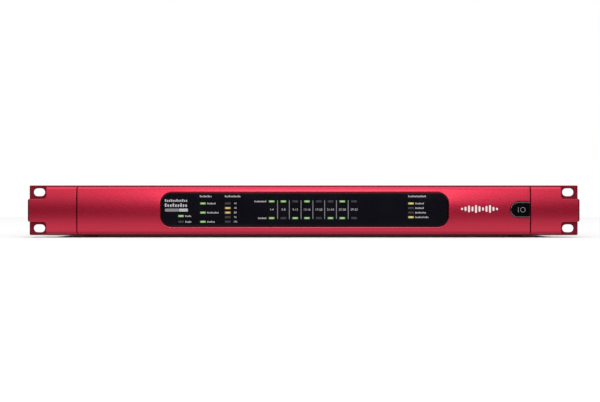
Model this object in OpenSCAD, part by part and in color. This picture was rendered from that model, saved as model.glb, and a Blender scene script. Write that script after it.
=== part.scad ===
// One-unit rack-mount audio interface, in millimetres.
// Origin: middle of the object's box, on the surface that its feet stand on.
// +X runs to the right of the front panel, the front faces -Y, +Z is up.

/* [Front panel] */
// Overall width across the end caps, a nineteen-inch panel
rack_w = 482.6; // [481:0.1:484]
// Height of the one-unit panel
panel_h = 43.66; // [43:0.02:44.3]
// Distance between the left and right rack slots
slot_pitch_x = 465.1; // [464:0.1:466]
// Distance between the upper and lower rack slots
slot_pitch_z = 31.75; // [31:0.05:32.5]
// Width of a rack slot
slot_w = 6.9; // [6.6:0.1:7.8]
// Length of a rack slot from end to end
slot_len = 10.2; // [9:0.1:11]
// Thickness of the flat rack panel
plate_t = 3; // [2.5:0.5:4]
// Thickness of the fascia at its crest
fascia_t = 9; // [8.5:0.1:10]
// Height of the fascia and its end caps, which leave a strip of the rack panel above and below
face_h = 41.2; // [40.6:0.1:42.4]
// How far the fascia's face bulges between its top and bottom edges
bulge = 1.6; // [1:0.1:2.4]
// Height of the chamfer along the fascia's long edges
edge_chamfer = 2; // [1.5:0.1:2.6]
// Width of each end cap
end_cap_w = 43; // [41:0.5:44]
// Gap between the fascia and each end cap
seam_gap = 0.8; // [0.4:0.1:1.2]
// Height of the end cap's tab between the slots
tab_h = 20; // [18:0.5:20.5]

/* [Display] */
// Width of the display window
window_w = 251.6; // [248:0.2:254]
// How far the window sits to the right of the panel's middle
window_x = 0.8; // [0:0.1:1.2]
// Height of the display window
window_h = 30.2; // [29.6:0.2:31]
// Corner radius of the display window
window_r = 9.4; // [7:0.2:11]
// How far the window and the button sit above the panel's middle
face_lift = 0.5; // [0:0.1:0.8]
// Width of a lamp
lamp_w = 5.1; // [4:0.1:5.6]
// Height of a lamp
lamp_h = 1.8; // [1.2:0.1:2.2]
// Distance between the channel lamps' columns
channel_pitch = 10.3; // [9.6:0.1:10.4]

/* [Power button] */
// Radius of the button's opening
button_r = 7.15; // [6.8:0.05:7.4]
// How far the button travels
button_travel = 3; // [1:0.5:3]

/* [Chassis] */
// Width of the chassis box
chassis_w = 440; // [436:1:444]
// Depth of the chassis behind the rack panel
chassis_d = 250; // [246:1:270]
// Height of the chassis box
chassis_h = 42.8; // [42:0.1:43]
// Thickness of the steel sheet
sheet_t = 1.2; // [1:0.1:1.5]
// Gap between the panel's lower edge and the surface
foot_gap = 2; // [1.5:0.5:4]

/* [Hidden] */
$fn = 48;
eps = 0.05;

// Finish colours
anodised_red = "#b5203c";
steel_black = "#1c1c1e";
plastic_black = "#141416";
board_green = "#17472b";
nickel = "#c4c6ca";
gold = "#c9a24a";

// Planes along Y: crest of the face, front and back of the rack panel, rear face
bnc_out = 12.4;
overall_d = fascia_t + plate_t + chassis_d + bnc_out;
y_crest = -overall_d / 2;
y_plate = y_crest + fascia_t;
y_rack = y_plate + plate_t;
y_rear = y_rack + chassis_d;

// Planes along Z
z_mid = foot_gap + panel_h / 2;
z_base = z_mid - chassis_h / 2;
z_top = z_mid + chassis_h / 2;
z_floor = z_base + sheet_t;
z_ceiling = z_top - sheet_t;

// Face of the front panel: one arc, chamfered along both long edges
face_r = pow(face_h / 2, 2) / (2 * bulge) + bulge / 2;
face_u1 = fascia_t - face_r + sqrt(pow(face_r, 2) - pow(face_h / 2 - edge_chamfer, 2));
face_u0 = face_u1 - edge_chamfer;
x_seam = rack_w / 2 - end_cap_w;
x_notch = rack_w / 2 - 16.2;
notch_r = 2.5;
tab_r = 1.5;
ear_inset = 0.3;

// Display stack, as depths in front of (+) or behind (-) the rack panel's front face
lens_front = 7;
lens_step = 4.5;
lens_back = 2.5;
pipe_front = 7.1;
pipe_back = -6.6;
holder_back = -6.4;
board_front = -8;
holder_w = 246;
holder_h = 25;
display_board_w = 266;
display_board_h = 28;
pcb_t = 1.6;

// Lamps: rows are heights above the panel's middle
lamp_row = [for (k = [0:4]) 6 - 4 * k];
channel_x0 = -28;
channel_rows = [7.8, -6.8];
channel_count = 8;
power_x = -107.3;
network_lamp_x = -88.1;
rate_x = -66.4;
clock_x = 93.9;
lit_channels = [[0, 1, 3, 6], [0, 2, 3, 5, 6]];
green_lamps = concat(
    [[power_x, -5]],
    [for (k = [0, 2, 4]) [network_lamp_x, lamp_row[k]]],
    [for (r = [0, 1], i = lit_channels[r]) channel_lamp(i, r)]
);
yellow_lamps = [for (k = [0, 3]) [clock_x, lamp_row[k]]];
amber_lamps = [for (k = [1, 2]) [rate_x, lamp_row[k]]];
unlit_lamps = concat(
    [[power_x, -10]],
    [for (k = [0, 3, 4]) [rate_x, lamp_row[k]]],
    [
        for (r = [0, 1], i = [0:channel_count - 1])
            if (len(search(i, lit_channels[r])) == 0) channel_lamp(i, r)
    ],
    [for (k = [1, 2]) [clock_x, lamp_row[k]]]
);
all_lamps = concat(green_lamps, yellow_lamps, amber_lamps, unlit_lamps);

function channel_lamp(i, r) = [channel_x0 + i * channel_pitch, channel_rows[r]];

// Power button: a bullet outline, round on the left and flat at the seam
button_x = 187.4;
bezel_r = button_r - 0.15;
bezel_in_r = button_r - 1.05;
cap_r = bezel_in_r - 0.2;
cap_flat_x = x_seam - seam_gap / 2 - 0.3;
cap_front = 8.3;
cap_back = 3.6;
stem_w = 4.6;
stem_hole = 5.4;
y_collar = y_rack + 6;
collar_t = 1.5;
y_bracket = y_rack + 16;
bracket_t = 1.2;
spring_wire = 0.6;
spring_r = 3.75;
spring_turns = 4.5;

// Screws
m3_r = 1.5;
m3_clear_r = 1.7;
m3_thread_r = 1.25;
front_screw_x = [-190, -134, 134, 172];
front_screw_z = 16;
cap_screw_x = x_seam + 9;
cap_screw_z = 12;
front_screws = concat(
    [for (x = front_screw_x, s = [-1, 1]) [x, s * front_screw_z]],
    [for (sx = [-1, 1], sz = [-1, 1]) [sx * cap_screw_x, sz * cap_screw_z]]
);
cover_flange_h = 9;
cover_screw_y = [for (k = [0:2]) y_rack + 20 + k * (chassis_d - 40) / 2];
cover_screw_z = z_ceiling - cover_flange_h / 2;
flush_screw_x = [-150, 0, 150];
rear_t = 1.5;
rear_flange = 9;

// Rear connectors: places along X, and the heights they share
inlet_x = [188, 146];
ground_x = 121;
network_x = [90, 56];
term_x = 33;
bnc_x = [14, -8, -36, -58];
link_x = [-104, -152];
y_inside = y_rear - rear_t;

// Mains inlet, about its own centre
inlet_flange = [30, 34, 2];
inlet_body = [27, 30.4, 24];
inlet_well = [24.2, 16.2, 16.5];
inlet_well_z = 5.6;
inlet_bevel = 4;
drawer_slot = [23, 8.2, 19];
drawer_z = -9.6;
drawer_gap = 0.2;
drawer_lip = 1.6;
pin_x = 7;
pin_size = [2, 4];
pin_rise = 2;

// Network jack, about its own centre
jack_flange = [26, 31, 2.2];
jack_body_r = 11.8;
jack_depth = 24;
insert_size = [15.8, 14];
socket_size = [11.9, 7.2];
socket_key = [6, 2];
socket_depth = 18;
latch_size = [7, 2.4];
latch_z = 9.4;
latch_travel = 1.5;
jack_screw = [9.5, 12];

// Coaxial jacks
bnc_r = 4.8;
bnc_bore_r = 4.05;
bnc_bore_depth = 9;
bnc_core_r = 2.4;
bnc_contact_r = 0.95;
bnc_nut_af = 14;

// Multi-pin link sockets
link_shell = [22, 8.6];
link_wall = 0.8;
link_out = 5.5;
link_flange = [38, 11.4];
link_screw_dx = 15.2;

// Termination slider
slider_size = [3, 3.2];
slider_travel = 3;
slider_out = 2;

// Boards
z_board = z_floor + 6;
z_board_top = z_board + pcb_t;
main_x = [-190, 108];
main_y = [y_rack + 96, y_inside - 1];
psu_x = [122, 212];
psu_y = [y_rack + 46, y_rack + 132];
psu_l = 78;
ac_x = 146;
ac_dy = 76;
dc_x = 128;
dc_dy = 62;
fan_size = 38;
fan_t = 20;
fan_bore_r = 17.6;
fan_hole = 16;
fan_y = [y_rack + 50, y_rack + 92];
fan_x = -chassis_w / 2 + sheet_t;
fan_screws = [for (y = fan_y, sy = [-1, 1], sz = [-1, 1]) [y + sy * fan_hole, sz * fan_hole]];

// Places of the screws that hold the boards
display_posts = [for (sx = [-1, 1], sz = [-1, 1]) [sx * 129, sz * 9]];
main_posts = [
    for (x = [main_x[0] + 6, -40, main_x[1] - 14], y = [main_y[0] + 6, main_y[1] - 26]) [x, y]
];
psu_posts = [for (x = [psu_x[0] + 5, psu_x[1] - 5], y = psu_y, dy = [5, psu_l - 5]) [x, y + dy]];
board_posts = concat(main_posts, psu_posts);

// ---------- Shapes that repeat ----------

// Draws 2D children, given as (x, height above the middle), from depth y0 back to y1
module slab(y0, y1) {
    translate([0, y1, z_mid]) rotate([90, 0, 0]) linear_extrude(y1 - y0) children();
}

module block(x0, x1, y0, y1, z0, z1) {
    translate([x0, y0, z0]) cube([x1 - x0, y1 - y0, z1 - z0]);
}

module rounded_rect(w, h, r) {
    square([w - 2 * r, h], center = true);
    square([w, h - 2 * r], center = true);
    for (sx = [-1, 1], sz = [-1, 1])
        translate([sx * (w / 2 - r), sz * (h / 2 - r)]) circle(r = r);
}

module slot_2d(len, w) {
    square([len - w, w], center = true);
    for (s = [-1, 1]) translate([s * (len - w) / 2, 0]) circle(d = w);
}

// A round bar along Y from y0 to y1
module rod_y(x, z, r, y0, y1) {
    translate([x, y1, z]) rotate([90, 0, 0]) cylinder(r = r, h = y1 - y0);
}

// A button-head screw that points along +Z from its head, with a hexagon socket
module button_screw(shank) {
    difference() {
        union() {
            translate([0, 0, -1.6]) cylinder(r = 2.7, h = 1.6);
            cylinder(r = m3_r - 0.3, h = shank);
        }
        translate([0, 0, -1.7]) cylinder(d = 2.3, h = 1.2, $fn = 6);
    }
}

module face_profile() {
    reach = edge_chamfer + 2;
    half = face_h / 2;
    intersection() {
        translate([face_r - fascia_t, 0]) circle(r = face_r, $fn = 200);
        polygon([
            [0, -half], [-face_u0, -half], [-face_u0 - reach, -half + reach],
            [-face_u0 - reach, half - reach], [-face_u0, half], [0, half]
        ]);
    }
}

module face_bar(x0, x1) {
    translate([x0, y_plate, z_mid]) rotate([90, 0, 90]) linear_extrude(x1 - x0) face_profile();
}

module bullet_2d(r, flat_x) {
    translate([button_x, 0]) circle(r = r);
    translate([button_x, -r]) square([flat_x - button_x, 2 * r]);
}

// ---------- Front panel ----------

module front_fascia() {
    half = x_seam - seam_gap / 2;
    color(anodised_red) difference() {
        face_bar(-half, half);
        slab(y_crest - 1, y_plate + 1)
            translate([window_x, face_lift]) rounded_rect(window_w, window_h, window_r);
        slab(y_plate - lens_step - eps, y_plate + 1)
            translate([window_x, face_lift])
                rounded_rect(window_w + 4, window_h + 4, window_r + 2);
        slab(y_crest - 1, y_plate + 1)
            translate([0, face_lift]) bullet_2d(button_r, half + 1);
        for (p = front_screws)
            rod_y(p.x, z_mid + p.y, m3_thread_r, y_plate - 4, y_plate + 1);
    }
}

// Outline of the right end cap: full height at the seam, a tab between the rack slots
module end_cap_2d() {
    x0 = x_seam + seam_gap / 2;
    tab_w = rack_w / 2 - x0;
    difference() {
        union() {
            translate([x0, -face_h / 2]) square([x_notch - x0, face_h]);
            translate([x0 + tab_w / 2, 0]) rounded_rect(tab_w, tab_h, tab_r);
            translate([x_notch - 1, -tab_h / 2 - notch_r])
                square([notch_r + 1, tab_h + 2 * notch_r]);
        }
        for (s = [-1, 1])
            translate([x_notch + notch_r, s * (tab_h / 2 + notch_r)]) circle(r = notch_r);
    }
}

module right_cap_body() {
    end_chamfer = 1.4;
    difference() {
        intersection() {
            face_bar(x_seam, rack_w / 2 + 1);
            slab(y_crest - 1, y_plate) end_cap_2d();
        }
        translate([rack_w / 2, y_crest + 0.4, z_mid]) rotate([0, 0, 45])
            cube([2 * end_chamfer * sin(45), 2 * end_chamfer * sin(45), panel_h], center = true);
        for (s = [-1, 1])
            rod_y(cap_screw_x, z_mid + s * cap_screw_z, m3_thread_r, y_plate - 5, y_plate + 1);
    }
}

module right_end_cap() { color(anodised_red) right_cap_body(); }

module left_end_cap() { color(anodised_red) mirror([1, 0, 0]) right_cap_body(); }

module rack_panel() {
    color("#7d1529") slab(y_plate, y_rack) difference() {
        rounded_rect(rack_w - 2 * ear_inset, panel_h, 1);
        for (sx = [-1, 1], sz = [-1, 1])
            translate([sx * slot_pitch_x / 2, sz * slot_pitch_z / 2]) slot_2d(slot_len, slot_w);
        translate([0, face_lift]) rounded_rect(holder_w + 1, holder_h + 1, 3.5);
        translate([button_x, face_lift]) square(stem_hole, center = true);
        for (p = front_screws) translate(p) circle(r = m3_clear_r);
    }
}

// Screws that hold the fascia and the end caps from inside the chassis
module front_panel_screws() {
    color(nickel) for (p = front_screws)
        translate([p.x, y_rack + sheet_t, z_mid + p.y]) rotate([90, 0, 0])
            button_screw(sheet_t + plate_t + 3.5);
}

// ---------- Display ----------

module lamp_holes(gap) {
    for (p = all_lamps) translate(p) square([lamp_w + gap, lamp_h + gap], center = true);
}

module display_lens() {
    color("#0b0b0f") {
        slab(y_plate - lens_front, y_plate - lens_step) difference() {
            translate([window_x, face_lift])
                rounded_rect(window_w - 0.3, window_h - 0.3, window_r - 0.15);
            lamp_holes(0.1);
        }
        slab(y_plate - lens_step, y_plate - lens_back) difference() {
            translate([window_x, face_lift])
                rounded_rect(window_w + 3.6, window_h + 3.6, window_r + 1.8);
            lamp_holes(0.1);
        }
    }
}

module lens_gasket() {
    color("#242424") slab(y_plate - lens_back, y_plate) difference() {
        translate([window_x, face_lift]) rounded_rect(window_w + 2, window_h + 2, window_r + 1);
        translate([0, face_lift]) rounded_rect(holder_w + 1, holder_h + 1, 3.5);
    }
}

module light_pipes(places) {
    slab(y_plate - pipe_front, y_plate - pipe_back)
        for (p = places) translate(p) square([lamp_w, lamp_h], center = true);
}

module green_light_pipes() { color("#6fd63a") light_pipes(green_lamps); }

module yellow_light_pipes() { color("#e8d84a") light_pipes(yellow_lamps); }

module amber_light_pipes() { color("#e8a03a") light_pipes(amber_lamps); }

module unlit_light_pipes() { color("#4a4c50") light_pipes(unlit_lamps); }

module light_pipe_holder() {
    color(plastic_black) slab(y_plate - lens_back, y_plate - holder_back) difference() {
        translate([0, face_lift]) rounded_rect(holder_w, holder_h, 3);
        lamp_holes(0.1);
    }
}

module display_board() {
    color(board_green) slab(y_plate - board_front, y_plate - board_front + pcb_t) difference() {
        rounded_rect(display_board_w, display_board_h, 1.5);
        for (p = display_posts) translate(p) circle(r = m3_clear_r);
    }
}

module display_leds() {
    color("#e9e6d8") slab(y_plate - board_front - 1, y_plate - board_front)
        for (p = all_lamps) translate(p) square([3.2, 1.5], center = true);
}

// ---------- Power button ----------

module power_button_cap() {
    color(plastic_black) slab(y_plate - cap_front, y_plate - cap_back)
        translate([0, face_lift]) bullet_2d(cap_r, cap_flat_x);
}

module power_button_stem() {
    z = z_mid + face_lift;
    half = stem_w / 2;
    color("#d8d8d8") {
        block(button_x - half, button_x + half, y_plate - cap_back, y_bracket + 6,
              z - half, z + half);
        block(button_x - 4.6, button_x + 4.6, y_collar, y_collar + collar_t, z - 4.6, z + 4.6);
    }
}

// One closed tube swept along a helix about Y
module power_button_spring() {
    sides = 8;
    steps = 14;
    rings = spring_turns * steps;
    y0 = y_collar + collar_t + spring_wire / 2 + 0.02;
    length = y_bracket - y0 - spring_wire / 2 - 0.02;
    points = [
        for (i = [0:rings], j = [0:sides - 1])
            let (turn = 360 * i / steps, around = 360 * j / sides,
                 reach = spring_r + spring_wire / 2 * cos(around))
                [
                    reach * cos(turn),
                    length * i / rings + spring_wire / 2 * sin(around),
                    reach * sin(turn)
                ]
    ];
    walls = [
        for (i = [0:rings - 1], j = [0:sides - 1])
            let (a = i * sides + j, b = i * sides + (j + 1) % sides)
                each [[a, b, b + sides], [a, b + sides, a + sides]]
    ];
    ends = [[for (j = [sides - 1:-1:0]) j], [for (j = [0:sides - 1]) rings * sides + j]];
    color(nickel) translate([button_x, y0, z_mid + face_lift])
        polyhedron(points, concat(walls, ends));
}

// Black guide that lines the opening; it is open towards the seam
module power_button_bezel() {
    flat_x = x_seam - seam_gap / 2 - 0.1;
    color("#0d0d0f") slab(y_plate - 8.1, y_plate) translate([0, face_lift]) difference() {
        bullet_2d(bezel_r, flat_x);
        bullet_2d(bezel_in_r, flat_x + 1);
    }
}

module switch_bracket() {
    z = z_mid + face_lift;
    color(nickel) difference() {
        union() {
            block(button_x - 12, button_x + 12, y_bracket, y_bracket + bracket_t, z_floor, z + 9);
            block(button_x - 12, button_x + 12, y_bracket, y_bracket + 26, z_floor,
                  z_floor + bracket_t);
        }
        block(button_x - stem_hole / 2, button_x + stem_hole / 2, y_bracket - 1,
              y_bracket + bracket_t + 1, z - stem_hole / 2, z + stem_hole / 2);
    }
}

module power_switch() {
    z = z_mid + face_lift;
    y0 = y_bracket + bracket_t;
    color("#202022") difference() {
        union() {
            block(button_x - 8, button_x + 8, y0, y0 + 20, z - 9, z + 8);
            for (sx = [-1, 1], sz = [-1, 1])
                block(button_x + sx * 4 - 1.2, button_x + sx * 4 + 1.2, y0 + 20, y0 + 26,
                      z + sz * 4 - 0.4, z + sz * 4 + 0.4);
        }
        block(button_x - stem_hole / 2, button_x + stem_hole / 2, y0 - 1, y0 + 9,
              z - stem_hole / 2, z + stem_hole / 2);
    }
}

// ---------- Chassis ----------

vent_w = 2.6;
vent_h = 24;
vent_pitch = 5;
vent_count = 7;

// One block of upright vent slots, cut through a side wall
module vent_slots(x, y_centre) {
    for (k = [0:vent_count - 1]) {
        y = y_centre + (k - (vent_count - 1) / 2) * vent_pitch;
        translate([x, y, z_mid]) rotate([0, 90, 0])
            linear_extrude(4, center = true) slot_2d(vent_h, vent_w);
    }
}

module side_hole(s, y, z, r) {
    translate([s * chassis_w / 2, y, z]) rotate([0, 90, 0]) cylinder(r = r, h = 8, center = true);
}

module chassis_tray() {
    half = chassis_w / 2;
    color(steel_black) difference() {
        union() {
            block(-half, half, y_rack, y_rear, z_base, z_floor);
            for (s = [-1, 1])
                translate([s * (half - sheet_t / 2), (y_rack + y_rear) / 2,
                           (z_floor + z_ceiling) / 2])
                    cube([sheet_t, y_rear - y_rack, z_ceiling - z_floor], center = true);
            block(-half, half, y_rack, y_rack + sheet_t, z_base, z_ceiling);
        }
        slab(y_rack - 1, y_rack + 3)
            translate([0, face_lift]) rounded_rect(holder_w + 2, holder_h + 2, 4);
        slab(y_rack - 1, y_rack + 3)
            translate([button_x, face_lift]) square(stem_hole, center = true);
        for (p = front_screws)
            rod_y(p.x, z_mid + p.y, m3_clear_r, y_rack - 1, y_rack + 3);
        for (s = [-1, 1], y = cover_screw_y) side_hole(s, y, cover_screw_z, m3_clear_r);
        for (p = fan_screws) side_hole(-1, p.x, z_mid + p.y, m3_clear_r);
        for (y = fan_y) {
            vent_slots(-half, y);
            vent_slots(half, y + 60);
        }
        for (x = flush_screw_x)
            translate([x, y_rear - 5, z_base - eps])
                cylinder(r1 = 2.95, r2 = 1.7, h = sheet_t + 2 * eps);
    }
}

module top_cover() {
    half = chassis_w / 2;
    inside = half - sheet_t - 0.1;
    color(steel_black) difference() {
        union() {
            block(-half, half, y_rack, y_rear, z_ceiling, z_top);
            for (s = [-1, 1])
                translate([s * (inside - sheet_t / 2), (y_rack + y_rear) / 2,
                           z_ceiling - cover_flange_h / 2])
                    cube([sheet_t, chassis_d - 30, cover_flange_h], center = true);
        }
        for (s = [-1, 1], y = cover_screw_y) side_hole(s, y, cover_screw_z, m3_thread_r);
        for (x = flush_screw_x)
            translate([x, y_rear - 5, z_ceiling - eps])
                cylinder(r1 = 1.7, r2 = 2.95, h = sheet_t + 2 * eps);
        for (y = fan_y)
            block(-half + sheet_t, -half + 4, y - fan_size / 2 - 0.5, y + fan_size / 2 + 0.5,
                  z_ceiling - cover_flange_h - 1, z_ceiling);
    }
}

// Screws for the cover's sides, the fans and the network jacks
module outer_screws() {
    half = chassis_w / 2;
    color("#2a2a2c") {
        for (y = cover_screw_y) {
            translate([half, y, cover_screw_z]) rotate([0, -90, 0]) button_screw(4.5);
            translate([-half, y, cover_screw_z]) rotate([0, 90, 0]) button_screw(4.5);
        }
        for (p = fan_screws)
            translate([-half, p.x, z_mid + p.y]) rotate([0, 90, 0]) button_screw(4.5);
        for (x = network_x, s = [-1, 1])
            translate([x + s * jack_screw.x, y_rear + jack_flange.z, z_mid + s * jack_screw.y])
                rotate([90, 0, 0]) button_screw(4.5);
    }
}

module flush_screw() {
    difference() {
        union() {
            cylinder(r1 = 2.8, r2 = 1.6, h = sheet_t);
            cylinder(r = 1.2, h = sheet_t + 3.5);
        }
        translate([0, 0, -1]) cylinder(d = 2.2, h = 1.9, $fn = 6);
    }
}

// Countersunk screws that hold the cover and the tray to the rear panel
module flush_screws() {
    color("#2a2a2c") for (x = flush_screw_x) {
        translate([x, y_rear - 5, z_top]) rotate([180, 0, 0]) flush_screw();
        translate([x, y_rear - 5, z_base]) flush_screw();
    }
}

module rubber_feet() {
    color("#1a1a1a") for (sx = [-1, 1], y = [y_rack + 28, y_rear - 28])
        translate([sx * 190, y, 0]) cylinder(r1 = 7, r2 = 8, h = z_base);
}

// ---------- Rear panel ----------

module rear_cutouts() {
    for (x = inlet_x) translate([x, 0]) square([inlet_body.x + 0.2, inlet_body.y + 0.2], center = true);
    translate([ground_x, -9]) circle(r = 2.2);
    for (x = network_x) {
        translate([x, 0]) circle(r = jack_body_r + 0.1);
        for (s = [-1, 1]) translate([x + s * jack_screw.x, s * jack_screw.y]) circle(r = m3_thread_r);
    }
    translate([term_x, 0]) square([slider_size.x + slider_travel + 0.6, slider_size.y + 0.4], center = true);
    for (x = bnc_x) translate([x, 0]) circle(r = bnc_r + 0.1);
    for (x = link_x) {
        translate([x, 0]) square([link_shell.x + 0.4, link_shell.y + 0.4], center = true);
        for (s = [-1, 1]) translate([x + s * link_screw_dx, 0]) circle(r = 1.5);
    }
}

module rear_panel() {
    half = chassis_w / 2 - sheet_t - 0.1;
    color(steel_black) difference() {
        union() {
            block(-half, half, y_inside, y_rear, z_floor, z_ceiling);
            block(-half, half, y_inside - rear_flange, y_inside, z_ceiling - sheet_t, z_ceiling);
            block(-half, half, y_inside - rear_flange, y_inside, z_floor, z_floor + sheet_t);
        }
        slab(y_inside - 1, y_rear + 1) rear_cutouts();
        for (x = flush_screw_x)
            translate([x, y_rear - 5, z_floor - 1]) cylinder(r = m3_thread_r, h = chassis_h);
    }
}

module mains_inlets() {
    color(plastic_black) for (x = inlet_x) difference() {
        union() {
            slab(y_rear, y_rear + inlet_flange.z)
                translate([x, 0]) rounded_rect(inlet_flange.x, inlet_flange.y, 2);
            slab(y_rear - inlet_body.z, y_rear)
                translate([x, 0]) square([inlet_body.x, inlet_body.y], center = true);
        }
        slab(y_rear + inlet_flange.z - inlet_well.z, y_rear + inlet_flange.z + 1)
            translate([x, inlet_well_z]) inlet_well_2d();
        slab(y_rear + inlet_flange.z - drawer_slot.z, y_rear + inlet_flange.z + 1)
            translate([x, drawer_z]) square([drawer_slot.x, drawer_slot.y], center = true);
        slab(y_rear - inlet_body.z - 1, y_rear) translate([x, 0]) pins_2d();
    }
}

// Outline of the inlet's well: a rectangle with its two upper corners bevelled
module inlet_well_2d() {
    w = inlet_well.x / 2;
    h = inlet_well.y / 2;
    polygon([
        [-w, -h], [w, -h], [w, h - inlet_bevel], [w - inlet_bevel, h],
        [-w + inlet_bevel, h], [-w, h - inlet_bevel]
    ]);
}

module pins_2d() {
    for (p = [[-pin_x, -pin_rise], [pin_x, -pin_rise], [0, pin_rise]])
        translate([p.x, inlet_well_z + p.y]) square(pin_size, center = true);
}

module inlet_pins() {
    color(nickel) for (x = inlet_x)
        slab(y_rear - inlet_body.z - 6, y_rear - 0.5) translate([x, 0]) pins_2d();
}

module fuse_drawer(x) {
    w = drawer_slot.x - 2 * drawer_gap;
    h = drawer_slot.y - 2 * drawer_gap;
    y_back = y_rear + inlet_flange.z - drawer_slot.z + 1;
    y_face = y_rear + inlet_flange.z;
    z = z_mid + drawer_z;
    color("#1b1b1d") difference() {
        union() {
            block(x - w / 2, x + w / 2, y_back, y_face, z - h / 2, z + h / 2);
            block(x - 5, x + 5, y_face, y_face + drawer_lip, z - h / 2, z - h / 2 + 1.6);
        }
        block(x - 10.3, x + 10.3, y_back + 4, y_back + 9.8, z - h / 2 + 1.2, z + h);
    }
}

module fuse_drawer_a() { fuse_drawer(inlet_x[0]); }

module fuse_drawer_b() { fuse_drawer(inlet_x[1]); }

// A glass tube with a metal cap on each end, lying in its drawer
module fuse(x) {
    y = y_rear + inlet_flange.z - drawer_slot.z + 1 + 6.9;
    z = z_mid + drawer_z - 0.08;
    color("#d9dfe2") translate([x, y, z]) rotate([0, 90, 0]) {
        cylinder(r = 2.3, h = 20, center = true);
        for (s = [-1, 1]) translate([0, 0, s * 7.25]) cylinder(r = 2.6, h = 5.5, center = true);
    }
}

module fuse_a() { fuse(inlet_x[0]); }

module fuse_b() { fuse(inlet_x[1]); }

module network_jacks() {
    color("#3a3b3f") for (x = network_x) difference() {
        union() {
            slab(y_rear, y_rear + jack_flange.z)
                translate([x, 0]) rounded_rect(jack_flange.x, jack_flange.y, 3.2);
            slab(y_rear - jack_depth, y_rear) translate([x, 0]) circle(r = jack_body_r);
        }
        slab(y_rear - jack_depth - 1, y_rear + jack_flange.z + 1)
            translate([x, -1.2]) square([insert_size.x + 0.1, insert_size.y + 0.1], center = true);
        slab(y_rear - 3.2, y_rear + jack_flange.z + 1)
            translate([x, latch_z]) square([latch_size.x + 0.4, latch_size.y + 0.4], center = true);
        for (s = [-1, 1])
            rod_y(x + s * jack_screw.x, z_mid + s * jack_screw.y, m3_clear_r, y_rear - 1, y_rear + 4);
    }
}

module network_inserts() {
    y1 = y_rear + jack_flange.z;
    color(plastic_black) for (x = network_x) difference() {
        slab(y_rear - jack_depth, y1)
            translate([x, -1.2]) square(insert_size, center = true);
        slab(y1 - socket_depth, y1 + 1) translate([x, -0.6]) {
            square(socket_size, center = true);
            translate([0, -socket_size.y / 2 - socket_key.y / 2 + 0.1])
                square([socket_key.x, socket_key.y + 0.2], center = true);
        }
    }
}

module network_contacts() {
    y1 = y_rear + jack_flange.z - 4;
    color(gold) for (x = network_x, k = [0:7])
        slab(y1 - 10, y1)
            translate([x + (k - 3.5) * 1.02, -0.6 + socket_size.y / 2 - 0.2])
                square([0.45, 0.4], center = true);
}

// Spring tab that is pushed in to free the plug
module network_latch(x) {
    color(nickel) {
        slab(y_rear - 1.4, y_rear + jack_flange.z + 1.8)
            translate([x, latch_z]) rounded_rect(latch_size.x, latch_size.y, 0.8);
    }
}

module network_latch_1() { network_latch(network_x[0]); }

module network_latch_2() { network_latch(network_x[1]); }

module bnc_jacks() {
    color(nickel) for (x = bnc_x) difference() {
        union() {
            rod_y(x, z_mid, bnc_r, y_inside - 1, y_rear + bnc_out);
            rod_y(x, z_mid, bnc_r + 0.9, y_rear + 3.4, y_rear + 4.6);
            translate([x, y_rear + 9.2, z_mid]) cylinder(r = 1, h = 2 * bnc_r + 1.8, center = true);
        }
        rod_y(x, z_mid, bnc_bore_r, y_rear + bnc_out - bnc_bore_depth, y_rear + bnc_out + 1);
        rod_y(x, z_mid, bnc_core_r + 0.02, y_inside - 2, y_rear + bnc_out);
    }
}

module bnc_insulators() {
    color("#ecebe4") for (x = bnc_x) difference() {
        rod_y(x, z_mid, bnc_core_r, y_inside - 1, y_rear + bnc_out - 2.2);
        rod_y(x, z_mid, bnc_contact_r + 0.02, y_inside - 2, y_rear + bnc_out);
    }
}

module bnc_contacts() {
    color(gold) for (x = bnc_x) difference() {
        rod_y(x, z_mid, bnc_contact_r, y_inside - 1, y_rear + bnc_out - 2.8);
        rod_y(x, z_mid, 0.5, y_rear + 4, y_rear + bnc_out);
    }
}

module bnc_nuts() {
    color(nickel) for (x = bnc_x) difference() {
        translate([x, y_rear + 3.3, z_mid]) rotate([90, 0, 0])
            cylinder(d = bnc_nut_af / cos(30), h = 2.5, $fn = 6);
        rod_y(x, z_mid, bnc_r + 0.03, y_rear, y_rear + 4);
    }
    color(nickel) for (x = bnc_x) difference() {
        rod_y(x, z_mid, 7.6, y_rear, y_rear + 0.7);
        rod_y(x, z_mid, bnc_r + 0.03, y_rear - 1, y_rear + 4);
    }
}

module bnc_housings() {
    color(plastic_black) for (x = bnc_x)
        block(x - 7.3, x + 7.3, y_inside - 15, y_inside - 1, z_board_top, z_mid + 7.3);
}

// ---------- Small rear controls and sockets ----------

module termination_switch() {
    color("#8f9196") difference() {
        block(term_x - 7, term_x + 7, y_inside - 8, y_inside, z_board_top, z_mid + 3.6);
        block(term_x - slider_travel / 2 - 1.8, term_x + slider_travel / 2 + 1.8,
              y_inside - 4.2, y_inside + 1, z_mid - 1.8, z_mid + 1.8);
    }
}

module termination_slider() {
    x0 = term_x - slider_travel / 2 - slider_size.x / 2;
    color("#f0f0ee")
        block(x0, x0 + slider_size.x, y_inside - 4, y_rear + slider_out,
              z_mid - slider_size.y / 2, z_mid + slider_size.y / 2);
}

// A shell outline with slanted sides, wider at the top
module link_2d(w, h) {
    slant = 1.6;
    polygon([[-w / 2 + slant, -h / 2], [w / 2 - slant, -h / 2], [w / 2, h / 2], [-w / 2, h / 2]]);
}

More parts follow.
